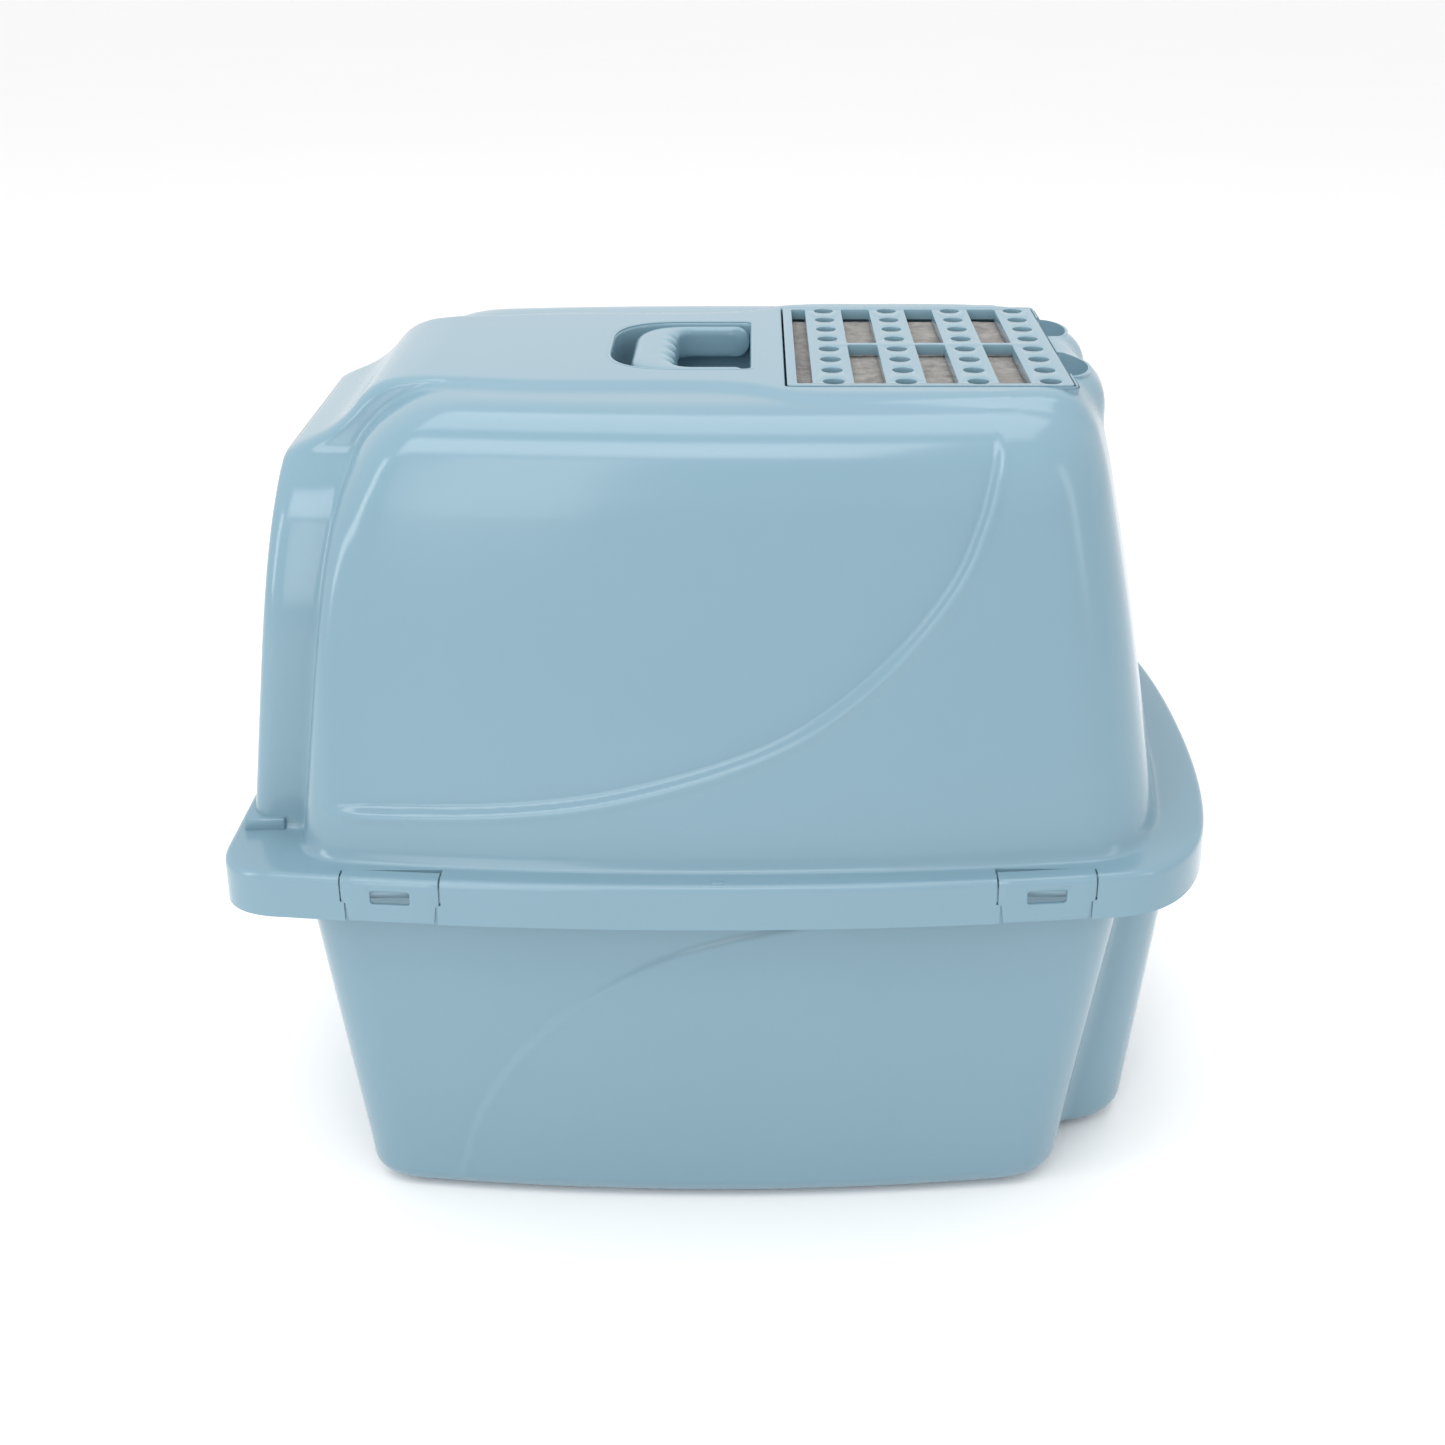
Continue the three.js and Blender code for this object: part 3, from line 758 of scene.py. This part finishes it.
def step_along(bm, arc, depth, lowest_y, fade):
    """Sets both sides back on the upper side of an arc, with a fine crest along the proud edge."""
    path = rounded(arc)
    edges = set()
    for face in bm.faces:
        x, y, z = face.calc_center_median()
        if abs(y) > lowest_y and abs(distance_to(path, x, z)) < LEDGE_BAND:
            edges.update(face.edges)
    edges = [e for e in bm.edges if e in edges]
    bmesh.ops.subdivide_edges(bm, edges=edges, cuts=3, use_grid_fill=True)
    for vert in bm.verts:
        x, y, z = vert.co
        if abs(y) < lowest_y:
            continue
        away = distance_to(path, x, z)
        back = depth * (1 - ease(*LEDGE, away))
        crest = CREST_SHARE * depth * math.exp(-(((away - CREST_AT) / CREST_WIDE) ** 2))
        vert.co.y += math.copysign(1.0, y) * (crest - back) * fade(x, y, z)


def hood_fade(x, y, z):
    """Where the arc's step shows on the hood: not on the roof, the cheeks or the rear."""
    return (
        (1 - ease(425, 457, z)) * ease(236, 252, z) * ease(-214, -186, x)
        * (1 - ease(180, 205, x)) * ease(95, 120, abs(y))
    )


def recess_plan():
    """Half plan of the handle's recess, from its front middle to its rear middle."""
    front, rear = RECESS_X
    return trace(
        (front, 0),
        (((front, 15),), 6),
        (((front, RECESS_HALF), (-30, RECESS_HALF)), 14),
        (((6, RECESS_HALF),), 8),
        (((rear, RECESS_HALF), (rear, 49)), 4),
        (((rear, 0),), 10),
    )


def tub(plan, top, floor, lip, soft, wall):
    """A sunk tub whose rim rolls over onto the surface around it."""
    bm = bmesh.new()
    rings = [raised(grown(plan, lip), top)]
    for k in range(1, 6):
        a = math.pi / 2 * k / 5
        rings.append(raised(grown(plan, lip * (1 - math.sin(a))), top - lip * (1 - math.cos(a))))
    rings.append(raised(grown(plan, -TUB_TAPER), (top + floor) / 2))
    for k in range(6):
        a = math.pi / 2 * k / 5
        inset = 2 * TUB_TAPER + soft * (1 - math.cos(a))
        rings.append(raised(grown(plan, -inset), floor + soft * (1 - math.sin(a))))
    _, last = loft(bm, rings)
    bmesh.ops.edgeloop_fill(bm, edges=last)
    bmesh.ops.recalc_face_normals(bm, faces=bm.faces[:])
    floor_face = max(bm.faces, key=lambda f: len(f.verts))
    if floor_face.normal.z < 0:
        bmesh.ops.reverse_faces(bm, faces=bm.faces[:])
    return thickened(bm, wall)


def pocket_ball(side, clearance=0.0, rows=24):
    """The round shape of a finger scoop behind the vent lid."""
    bm = bmesh.new()
    x, y, z = POCKET_CENTRE
    radii = [r - clearance for r in POCKET_RADII]
    place = Matrix.Translation((x, side * y, z)) @ Matrix.Diagonal((*radii, 1))
    bmesh.ops.create_uvsphere(bm, u_segments=48, v_segments=rows, radius=1.0, matrix=place)
    return bm


def pocket_skin(side):
    """The plastic round a finger scoop, open at the top and towards the seat."""
    bm = pocket_ball(side, clearance=0.1, rows=32)
    for point, normal in (((0, 0, 461.6), (0, 0, 1)), ((173.6, 0, 0), (-1, 0, 0))):
        everything = bm.verts[:] + bm.edges[:] + bm.faces[:]
        bmesh.ops.bisect_plane(
            bm, geom=everything, plane_co=point, plane_no=normal, clear_outer=True,
        )
    bmesh.ops.reverse_faces(bm, faces=bm.faces[:])
    return thickened(bm, 1.6)


def arch_prism(half, shrink, foot, top, soft, x):
    """A block with the doorway's outline that leans back with the porch."""
    left = trace(
        (0, foot), (((half, foot),), 4), (((half - shrink, top - soft),), 6),
        (((half - shrink - 2, top), (half - shrink - 2 - soft, top)), 8), (((0, top),), 4),
    )
    ring = left + [Vector((-p.x, p.y)) for p in reversed(left[1:-1])]
    return shut_loft([
        [Vector((at + (p.y - FLANGE_TOP) * PORCH_LEAN, p.x, p.y)) for p in ring]
        for at in x
    ])


def door_sleeve():
    """The sleeve that lines the doorway."""
    sleeve = arch_prism(half=100.6, shrink=7.6, foot=233.5, top=406.6, soft=20, x=(-256.4, -237))
    hole = arch_prism(half=98, shrink=8, foot=225, top=404, soft=18, x=(-270, -200))
    sleeve = carved(sleeve, hole)
    soften(sleeve, 0.8, degrees=50)
    return sleeve


def clip_room(place, side):
    """The notch that a clip fills in the flange and the skirt."""
    y = rim_half_width(place) - HINGE_BACK - 0.5
    across = sorted((side * y, side * 215))
    wide, narrow = CLIP_HALF + CLIP_GAP, CLIP_SHOULDER_HALF + CLIP_FOOT_GAP
    upper = block((place - wide, place + wide), across, (221.4, 240))
    lower = block((place - narrow, place + narrow), across, (205, 222))
    return [upper, lower]


def hood_skin():
    """The outer skin of the hood, its porch and its flange."""
    bm = bmesh.new()
    rings = flange_rings() + [raised(mirrored(hood_half(z)), z) for z in wall_heights()]
    loft(bm, rings + roof_rings(rings[-1]))
    clean(bm)
    raise_strip(bm)
    step_along(bm, HOOD_ARC, HOOD_ARC_DEPTH, lowest_y=95, fade=hood_fade)
    return bm


def door_cut():
    """The doorway through the porch."""
    return arch_prism(half=99, shrink=7.8, foot=236.0, top=405, soft=19, x=(-275, -215))


def hole_through(plan):
    """A cutter that opens the roof over a tub."""
    wide = grown(plan, 2 * TUB_TAPER)
    return shut_loft([raised(wide, 446), raised(wide, 475)])


def hood_cuts(recess, seat):
    """Everything that is cut out of the hood's shell, in the order it is cut."""
    cuts = [door_cut(), hole_through(recess), hole_through(seat)]
    for side in SIDES.values():
        cuts.append(pocket_ball(side))
        for place in CLIP_PLACES.values():
            cuts += clip_room(place, side)
    return cuts


def roof_tubs(recess, seat):
    """The handle's recess and the vent lid's seat, sunk in the roof."""
    top = ROOF_EDGE + STRIP_RISE + TUB_PROUD
    recess_tub = tub(recess, top, RECESS_FLOOR, 2.4, 6.0, TUB_WALL)
    seat_tub = tub(seat, top, SEAT_FLOOR, 1.0, 1.5, TUB_WALL)
    scoops = joined(*[pocket_ball(side) for side in SIDES.values()])
    return [recess_tub, carved(seat_tub, scoops)]


def porch_foot(side):
    """The raised pad at the foot of a porch post."""
    return block((-259.8, -238), sorted((side * 97.5, side * 138.0)), (234, 241.5), 1.0)


def rim_tablet():
    """The small plain tablet on the flange."""
    return block((-10, -4), (-196.2, -192.6), (FLANGE_TOP - 0.5, FLANGE_TOP + 0.35), 0.3)


class LITTERBOX_OT_hood(bpy.types.Operator):
    """Build the lift-off hood with its porch, vent seat and handle recess"""

    bl_idname = "litterbox.hood"
    bl_label = "Hood"

    def execute(self, context):
        wall = context.scene.litter_box.wall / MM
        shell = thickened(hood_skin(), wall)
        recess = mirrored(recess_plan())
        corners = reversed(rounded_box(SEAT_X, (-SEAT_HALF, SEAT_HALF), 3.0))
        seat = [Vector(p) for p in corners]
        for cut in hood_cuts(recess, seat):
            shell = carved(shell, cut)
        parts = [shell] + roof_tubs(recess, seat) + [door_sleeve()]
        parts += [pocket_skin(side) for side in SIDES.values()]
        parts += [porch_foot(side) for side in SIDES.values()]
        parts.append(rim_tablet())
        finish_piece(
            "hood_moulding", joined(*parts), blue_plastic(), "hood", ["hood_shell"],
            sharp=SOFT_SHARP,
        )
        return {"FINISHED"}


# ---- Tray ----------------------------------------------------------------------------------------
def tray_half():
    """Half outline of the tray's wall under the flange, with its belly at the rear."""
    return trace(
        (-231.5, 0),
        (((-231.5, 136),), 14),
        (((-231.5, 168), (-198, 170)), 18),
        (((-8, 194), (180, 170)), SIDE_STEPS),
        (((213, 167), (TRAY_BODY_END, 130)), 18),
        (((217.5, 112), (228, 105)), 8),
        (((253, 99), (256.5, 68)), 12),
        (((BELLY_END, 40), (BELLY_END, 0)), 14),
    )


def tray_reach(x, height):
    """Where a place along the tray lies at a height: the body tapers more than the belly."""
    if x < 0:
        return x * (1 + FRONT_TAPER * height)
    if x < TRAY_BODY_END:
        return x * (1 + REAR_TAPER * height)
    body = TRAY_BODY_END * (1 + REAR_TAPER * height)
    belly = BELLY_END * (1 + BELLY_TAPER * height)
    return body + (x - TRAY_BODY_END) / (BELLY_END - TRAY_BODY_END) * (belly - body)


def tray_ring(plan, z):
    """The tray's outline at a height, drawn in towards the floor."""
    height = (z - TRAY_TOP) / TRAY_TOP
    inwards = round_in(TRAY_ROUND, TRAY_ROUND - z)
    ring = []
    for p in plan:
        ring.append(Vector((
            tray_reach(p.x, height) - math.copysign(min(1, abs(p.x) / 60), p.x) * inwards,
            p.y * (1 + SIDE_TAPER * height) - math.copysign(min(1, abs(p.y) / 60), p.y) * inwards,
            z,
        )))
    return ring


def tray_fade(x, y, z):
    """Where the arc's step shows on the tray."""
    return ease(4, 26, z) * (1 - ease(206, 216, z)) * (1 - ease(120, 190, x))


def tray_rim():
    """The tray's turned-out rim."""
    bm = bmesh.new()
    wall = tray_ring(mirrored(tray_half()), TRAY_TOP)
    edge = grown(wall, TRAY_LEDGE)
    rings = [raised(edge, 222.5), raised(edge, 229.8), raised(grown(edge, -0.5), 231.0)]
    rings += [raised(grown(edge, -1.6), TRAY_TOP), raised(grown(wall, 0.8), TRAY_TOP)]
    loft(bm, rings)
    clean(bm)
    return bm


def tray_wall():
    """The tray's wall and floor, as one skin."""
    bm = bmesh.new()
    plan = mirrored(tray_half())
    heights = [TRAY_TOP - (TRAY_TOP - TRAY_ROUND) * k / 46 for k in range(47)]
    heights += [TRAY_ROUND * (1 - math.sin(math.pi / 2 * k / 8)) for k in range(1, 8)] + [0.0]
    rings = [tray_ring(plan, z) for z in heights]
    loft(bm, rings + [[Vector((p.x * s, p.y * s, p.z)) for p in rings[-1]] for s in (0.93, 0.6, 0.2)])
    inner = [v for v in bm.verts if v.co.z < 0.01 and v.co.xy.length < 60]
    bmesh.ops.pointmerge(bm, verts=inner, merge_co=(0, 0, 0))
    clean(bm)
    step_along(bm, TRAY_ARC, TRAY_ARC_DEPTH, lowest_y=90, fade=tray_fade)
    return bm


class LITTERBOX_OT_tray(bpy.types.Operator):
    """Build the deep tray with its turned-out rim"""

    bl_idname = "litterbox.tray"
    bl_label = "Tray"

    def execute(self, context):
        wall = context.scene.litter_box.wall / MM
        whole = joined(thickened(tray_wall(), wall), thickened(tray_rim(), TRAY_RIM_WALL))
        finish_piece(
            "tray_moulding", whole, blue_plastic(), "tray", ["litter_tray"],
            sharp=SOFT_SHARP,
        )
        return {"FINISHED"}


# ---- Flap ----------------------------------------------------------------------------------------
def flap_line():
    """The flap from the side: its back face, from the hinge down to the curled lip."""
    back = FLAP_AXIS[0] + 4.0
    return trace(
        (back, 399.0), (((back, 292),), 12), (((back, 256), (FLAP_AXIS[0] - 8, 247)), 12),
        (((FLAP_AXIS[0] - 24, 239.5), (FLAP_AXIS[0] - 33.0, 242.2)), 8),
    )


def flap_sheet():
    """The flap's sheet, bent along its side line from a flat plate."""
    line = flap_line()
    lengths = [0.0]
    for a, b in zip(line, line[1:]):
        lengths.append(lengths[-1] + (b - a).length)
    total = lengths[-1]
    flat = rounded_box((0, total), (-FLAP_HALF, FLAP_HALF), 9.0, 6)
    flat = [(x, y * (1 - 0.085 * (1 - min(x, 110) / 110))) for x, y in flat]
    folds = [((at, 0, 0), (1, 0, 0)) for at in lengths[1:-1]]
    bm = plate([flat], FLAP_WALL, 0.9, folds)
    for vert in bm.verts:
        x, y, z = vert.co
        i = min(max(bisect.bisect_right(lengths, x) - 1, 0), len(line) - 2)
        along = (line[i + 1] - line[i]).normalized()
        spot = line[i] + along * (x - lengths[i])
        away = Vector((along.y, -along.x)) * -z
        vert.co = (spot.x + away.x, y, spot.y + away.y)
    bmesh.ops.recalc_face_normals(bm, faces=bm.faces[:])
    return bm


class LITTERBOX_OT_flap(bpy.types.Operator):
    """Build the smoke tinted swing flap with its hinge barrel and pins"""

    bl_idname = "litterbox.flap"
    bl_label = "Swing flap"

    def execute(self, context):
        x, z = FLAP_AXIS
        barrel = rod(3.0, (x, -77.5, z), (x, 77.5, z), soft=0.6)
        pin = rod(2.3, (x, -94.8, z), (x, 94.8, z), soft=0.4)
        whole = joined(flap_sheet(), barrel, pin)
        finish_piece("flap_moulding", whole, smoke_plastic(), "flap", ["door_flap"])
        return {"FINISHED"}


# ---- Handle --------------------------------------------------------------------------------------
def handle_stations():
    """Middle line of the bail from one eye round the grip to the other, with its half widths."""
    half = trace(
        (HANDLE_AXIS[0], -HANDLE_ARM_Y), (((GRIP_START, -HANDLE_ARM_Y),), 16),
        (((GRIP_X, -45.0), (GRIP_X, -20)), 20), (((GRIP_X, 0),), 14),
    )
    line = half + [Vector((p.x, -p.y)) for p in reversed(half[:-1])]
    stations = []
    for p in line:
        grip = 1 - ease(-43, GRIP_START, p.x)
        wave = math.cos(math.tau * p.y / RIPPLE_PITCH) * (1 - ease(28, 36, abs(p.y)))
        stations.append((p, HANDLE_ARM_HALF + GRIP_EXTRA_HALF * grip, RIPPLE_DEPTH * grip * wave))
    return stations


def handle_grip():
    """The bail, lofted from rounded sections along its middle line."""
    stations = handle_stations()
    rings = []
    for i, (p, wide, ripple) in enumerate(stations):
        before = stations[max(i - 1, 0)][0]
        after = stations[min(i + 1, len(stations) - 1)][0]
        along = (after - before).normalized()
        out = Vector((along.y, -along.x))
        ring = []
        for k in range(40):
            a = math.tau * k / 40
            flat = math.copysign(abs(math.cos(a)) ** 0.5, math.cos(a)) * wide
            rise = math.copysign(abs(math.sin(a)) ** 0.5, math.sin(a)) * HANDLE_HALF_TALL
            if flat < 0:
                flat += ripple * min(1.0, -flat / wide * 1.3)
            spot = p - out * flat
            ring.append(Vector((spot.x, spot.y, HANDLE_AXIS[1] + rise)))
        rings.append(ring)
    return shut_loft(rings)


class LITTERBOX_OT_handle(bpy.types.Operator):
    """Build the folding carrying handle with its finger ripples"""

    bl_idname = "litterbox.handle"
    bl_label = "Carrying handle"

    def execute(self, context):
        x, z = HANDLE_AXIS
        parts = [handle_grip()]
        for side in SIDES.values():
            y = sorted((side * 42.2, side * 49.8))
            parts.append(rod(HANDLE_HALF_TALL, (x, y[0], z), (x, y[1], z), 48, soft=2.2))
            y = sorted((side * 46.0, side * 55.3))
            parts.append(rod(2.9, (x, y[0], z), (x, y[1], z), soft=0.4))
        whole = joined(*parts)
        finish_piece("handle_bail", whole, blue_plastic(), "handle", ["carry_handle"])
        return {"FINISHED"}


# ---- Vent lid and filter -------------------------------------------------------------------------
def lid_outlines():
    """The lid's edge, then its holes and slots."""
    loops = [rounded_box(LID_X, (-LID_HALF, LID_HALF), 2.5)]
    for x in HOLE_COLUMNS:
        for k in range(HOLES_PER_COLUMN):
            loops.append(circle(x, (k - (HOLES_PER_COLUMN - 1) / 2) * HOLE_PITCH, HOLE_RADIUS))
    loops.append(rounded_box((33.4, 41.4), (-SLOT_REACH, SLOT_REACH), 1.5))
    for a, b in zip(HOLE_COLUMNS, HOLE_COLUMNS[1:]):
        for y in ((-SLOT_REACH, -2.0), (2.0, SLOT_REACH)):
            loops.append(rounded_box((a + SLOT_MARGIN, b - SLOT_MARGIN), y, 1.5))
    return loops


class LITTERBOX_OT_vent_lid(bpy.types.Operator):
    """Build the vent lid with its rows of round holes and slots"""

    bl_idname = "litterbox.vent_lid"
    bl_label = "Vent lid"

    def execute(self, context):
        bm = plate(lid_outlines(), LID_WALL, 0.8)
        bmesh.ops.translate(bm, verts=bm.verts[:], vec=(0, 0, LID_TOP - 0.05))
        pin = rod(2.0, (31, -90.4, 460), (31, 90.4, 460), soft=0.4)
        finish_piece("vent_grille", joined(bm, pin), blue_plastic(), "lid", ["vent_lid"])
        return {"FINISHED"}


class LITTERBOX_OT_filter(bpy.types.Operator):
    """Build the felt filter pad under the lid"""

    bl_idname = "litterbox.filter"
    bl_label = "Carbon filter"

    def execute(self, context):
        low, high = [Vector(v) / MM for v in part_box("carbon_filter")]
        size, middle = high - low, (low + high) / 2
        bm = bmesh.new()
        top, foot = high.z - 0.8, low.z + 0.5
        spread = Matrix.Diagonal((size.x - 1, size.y - 1, 1, 1))
        place = Matrix.Translation((middle.x, middle.y, top)) @ spread
        bmesh.ops.create_grid(bm, x_segments=110, y_segments=130, size=0.5, matrix=place)
        made = bmesh.ops.extrude_face_region(bm, geom=bm.faces[:], use_keep_orig=True)["geom"]
        under = [g for g in made if isinstance(g, bmesh.types.BMVert)]
        bmesh.ops.translate(bm, verts=under, vec=(0, 0, foot - top))
        bmesh.ops.recalc_face_normals(bm, faces=bm.faces[:])
        for vert in bm.verts:
            edge_x = size.x / 2 - abs(vert.co.x - middle.x)
            edge_y = size.y / 2 - abs(vert.co.y - middle.y)
            edge = min(edge_x, edge_y)
            if vert.co.z > middle.z:
                tangle = noise.fractal(vert.co * 0.22, 0.8, 2.2, 4)
                vert.co.z += 0.34 * tangle - 1.4 * (1 - ease(0, 4, edge))
        pad = finish_piece(
            "filter_pad", bm, filter_felt(), "hood", ["carbon_filter"], sharp=80,
        )
        return {"FINISHED"}


# ---- Clips ---------------------------------------------------------------------------------------
CLIP_RUN = (6.8, RIM_SOFT * math.pi / 2, FLANGE_TOP - RIM_SOFT - SKIRT_FOOT)
CLIP_STEP = 22.4


def clip_spot(along, down, deep, side, place):
    """A point of the clip: along the rim, down round its edge from the hinge, deep from the surface."""
    x = place + along
    rim = rim_half_width(x)
    flat, turn, _ = CLIP_RUN
    if down < flat:
        y, z, out, up = rim - RIM_SOFT - flat + down, FLANGE_TOP + 0.1, 0.0, 1.0
    elif down < flat + turn:
        a = (down - flat) / RIM_SOFT
        y, z = rim - RIM_SOFT * (1 - math.sin(a)), FLANGE_TOP - RIM_SOFT * (1 - math.cos(a))
        out, up = math.sin(a), math.cos(a)
    else:
        y, z, out, up = rim, FLANGE_TOP - RIM_SOFT - (down - flat - turn), 1.0, 0.0
    return Vector((x, side * (y - out * deep), z - up * deep))


def clip_plate(side, place):
    """The clip's leaf: wide at its hinge, stepped and tapering to its foot, with a finger slot."""
    flat, turn, drop = CLIP_RUN
    end = flat + turn + drop - 0.2
    right = [
        (CLIP_HALF, 0.3), (CLIP_HALF, CLIP_STEP), (CLIP_SHOULDER_HALF, CLIP_STEP + 1.2),
        (CLIP_FOOT_HALF, end),
    ]
    outline = right + [(-x, y) for x, y in reversed(right)]
    slot = rounded_box((-10.2, 10.2), (15.4, 23.2), 1.6, 4)
    steps = [flat + turn * k / 5 for k in range(6)] + [2.0, 4.4, 19.0, 27.0, 31.0]
    folds = [((0, at, 0), (0, 1, 0)) for at in steps]
    folds += [((at, 0, 0), (1, 0, 0)) for at in (-18, -12, -6, 0, 6, 12, 18)]
    bm = plate([outline, slot], CLIP_WALL, 0.55, folds)
    for vert in bm.verts:
        along, down, deep = vert.co
        vert.co = clip_spot(along, down, -deep, side, place)
    bmesh.ops.recalc_face_normals(bm, faces=bm.faces[:])
    return bm


def clip_ledge(side, place):
    """The sloping finger ledge behind the slot."""
    y = rim_half_width(place)
    bm = block((place - 11.2, place + 11.2), (-1.1, 1.1), (-5.6, 5.6), 0.5)
    tilt = Matrix.Rotation(math.radians(-38 * side), 4, "X")
    place = Matrix.Translation((0, side * (y - 4.4), 226.0)) @ tilt
    bmesh.ops.transform(bm, matrix=place, verts=bm.verts[:])
    return bm


def clip_rod(side, place, radius, reach, soft):
    """A bar along the clip's hinge line."""
    y = side * (rim_half_width(place) - CLIP_AXIS_BACK)
    start = (place - reach, y, CLIP_AXIS_HEIGHT)
    end = (place + reach, y, CLIP_AXIS_HEIGHT)
    return rod(radius, start, end, soft=soft)


class LITTERBOX_OT_clips(bpy.types.Operator):
    """Build the four clips that hold the hood on the tray"""

    bl_idname = "litterbox.clips"
    bl_label = "Side clips"

    def execute(self, context):
        for row, place in CLIP_PLACES.items():
            for hand, side in SIDES.items():
                barrel = clip_rod(side, place, 2.9, 25.2, 0.4)
                pin = clip_rod(side, place, 1.7, 29.2, 0.3)
                whole = joined(clip_plate(side, place), clip_ledge(side, place), barrel, pin)
                body = f"clip_{row}_{hand}"
                finish_piece(f"{body}_leaf", whole, blue_plastic(), body, [body])
        return {"FINISHED"}


# ---- Stage ---------------------------------------------------------------------------------------
# Metres and watts: name, place, the point it faces, its size, its power.
LAMPS = (
    ("overhead", (0.1, 0.3, 2.3), (0, 0, 0.4), (1.8, 1.2), 14),
    ("front overhead", (-0.3, -1.15, 2.2), (0, -0.1, 0.4), (1.7, 0.8), 14),
    ("left bank", (-0.85, -2.6, 1.5), (-0.1, -0.17, 0.5), (0.75, 2.3), 11),
    ("left strip", (-2.2, -1.2, 1.3), (-0.15, 0, 0.35), (0.5, 1.8), 12),
    ("right strip", (2.1, -1.3, 1.2), (0.15, 0, 0.35), (0.4, 1.8), 4),
)
FLOOR_REACH = 40.0
CAMERA_PLACE = (0.011, -1.03175, 0.7133)
CAMERA_PITCH = 24.914
CAMERA_LENS = 47.335
CAMERA_SHIFT = -0.0211


def softbox(name, place, aim, size, power):
    """A rectangular studio lamp that faces a point."""
    lamp = bpy.data.lights.new(name, "AREA")
    lamp.shape = "RECTANGLE"
    lamp.size, lamp.size_y = size
    lamp.energy = power
    obj = bpy.data.objects.new(name, lamp)
    obj.location = place
    obj.rotation_euler = (Vector(aim) - Vector(place)).to_track_quat("-Z", "Y").to_euler()
    obj.visible_camera = False
    bpy.context.scene.collection.objects.link(obj)


def pale_floor():
    """The wide pale floor that the box stands on."""
    bm = bmesh.new()
    bmesh.ops.create_grid(bm, x_segments=8, y_segments=8, size=FLOOR_REACH)
    mesh = bpy.data.meshes.new("studio_floor")
    bm.to_mesh(mesh)
    bm.free()
    mesh.materials.append(floor_paint())
    floor = bpy.data.objects.new("studio_floor", mesh)
    bpy.context.scene.collection.objects.link(floor)
    floor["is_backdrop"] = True


class LITTERBOX_OT_stage(bpy.types.Operator):
    """Build the pale floor, the soft lamps and the camera"""

    bl_idname = "litterbox.stage"
    bl_label = "Studio stage"

    def execute(self, context):
        scene = context.scene
        pale_floor()
        world = bpy.data.worlds.new("studio")
        world.use_nodes = True
        backdrop = world.node_tree.nodes["Background"]
        backdrop.inputs["Color"].default_value = (1.0, 1.0, 1.0, 1)
        backdrop.inputs["Strength"].default_value = 0.98
        scene.world = world
        for lamp in LAMPS:
            softbox(*lamp)
        scene.view_settings.view_transform = "Standard"
        lens = bpy.data.cameras.new("studio camera")
        lens.sensor_width = 36.0
        lens.lens = CAMERA_LENS
        lens.shift_x = CAMERA_SHIFT
        camera = bpy.data.objects.new("studio camera", lens)
        camera.location = CAMERA_PLACE
        camera.rotation_euler = (math.radians(90 - CAMERA_PITCH), 0, 0)
        scene.collection.objects.link(camera)
        scene.camera = camera
        return {"FINISHED"}


# ---- Add-on --------------------------------------------------------------------------------------
class LitterBoxSettings(bpy.types.PropertyGroup):
    """Sizes and colours that a user would change"""

    wall: FloatProperty(
        name="Wall", description="Thickness of the moulded walls", default=0.0028, unit="LENGTH",
    )
    shell_colour: FloatVectorProperty(
        name="Shell colour", description="Colour of the tray, hood, handle, lid and clips",
        subtype="COLOR", size=3, min=0, max=1, default=(0.175, 0.29, 0.357),
    )
    shell_gloss: FloatProperty(
        name="Shell roughness", description="Roughness of the glossy plastic", default=0.14,
        subtype="FACTOR", min=0, max=1,
    )
    flap_colour: FloatVectorProperty(
        name="Flap colour", description="Tint of the swing flap", subtype="COLOR", size=3, min=0, max=1,
        default=(0.10, 0.16, 0.19),
    )
    felt_colour: FloatVectorProperty(
        name="Felt colour", description="Middle colour of the filter", subtype="COLOR", size=3, min=0,
        max=1, default=(0.27, 0.252, 0.235),
    )


OPERATORS = (
    LITTERBOX_OT_tray, LITTERBOX_OT_hood, LITTERBOX_OT_flap, LITTERBOX_OT_handle, LITTERBOX_OT_vent_lid,
    LITTERBOX_OT_filter, LITTERBOX_OT_clips, LITTERBOX_OT_stage,
)


class LITTERBOX_PT_panel(bpy.types.Panel):
    """Lists the pieces of the litter box"""

    bl_idname = "LITTERBOX_PT_panel"
    bl_label = "Litter box"
    bl_space_type = "VIEW_3D"
    bl_region_type = "UI"
    bl_category = "Litter box"

    def draw(self, context):
        settings = context.scene.litter_box
        for name in ("wall", "shell_colour", "shell_gloss", "flap_colour", "felt_colour"):
            self.layout.prop(settings, name)
        for operator in OPERATORS:
            self.layout.operator(operator.bl_idname)


CLASSES = (LitterBoxSettings,) + OPERATORS + (LITTERBOX_PT_panel,)


def register():
    for cls in CLASSES:
        bpy.utils.register_class(cls)
    bpy.types.Scene.litter_box = PointerProperty(type=LitterBoxSettings)


def unregister():
    del bpy.types.Scene.litter_box
    for cls in reversed(CLASSES):
        bpy.utils.unregister_class(cls)


def plain(value):
    """Numbers of a box as nested lists."""
    if isinstance(value, (int, float)):
        return float(value)
    return [plain(v) for v in value]


def main():
    register()
    for operator in OPERATORS:
        getattr(bpy.ops.litterbox, operator.bl_idname.split(".")[1])()
    sizes = {"cad": plain(FRAME_BOX), "visual": plain(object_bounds())}


if __name__ == "__main__":
    main()
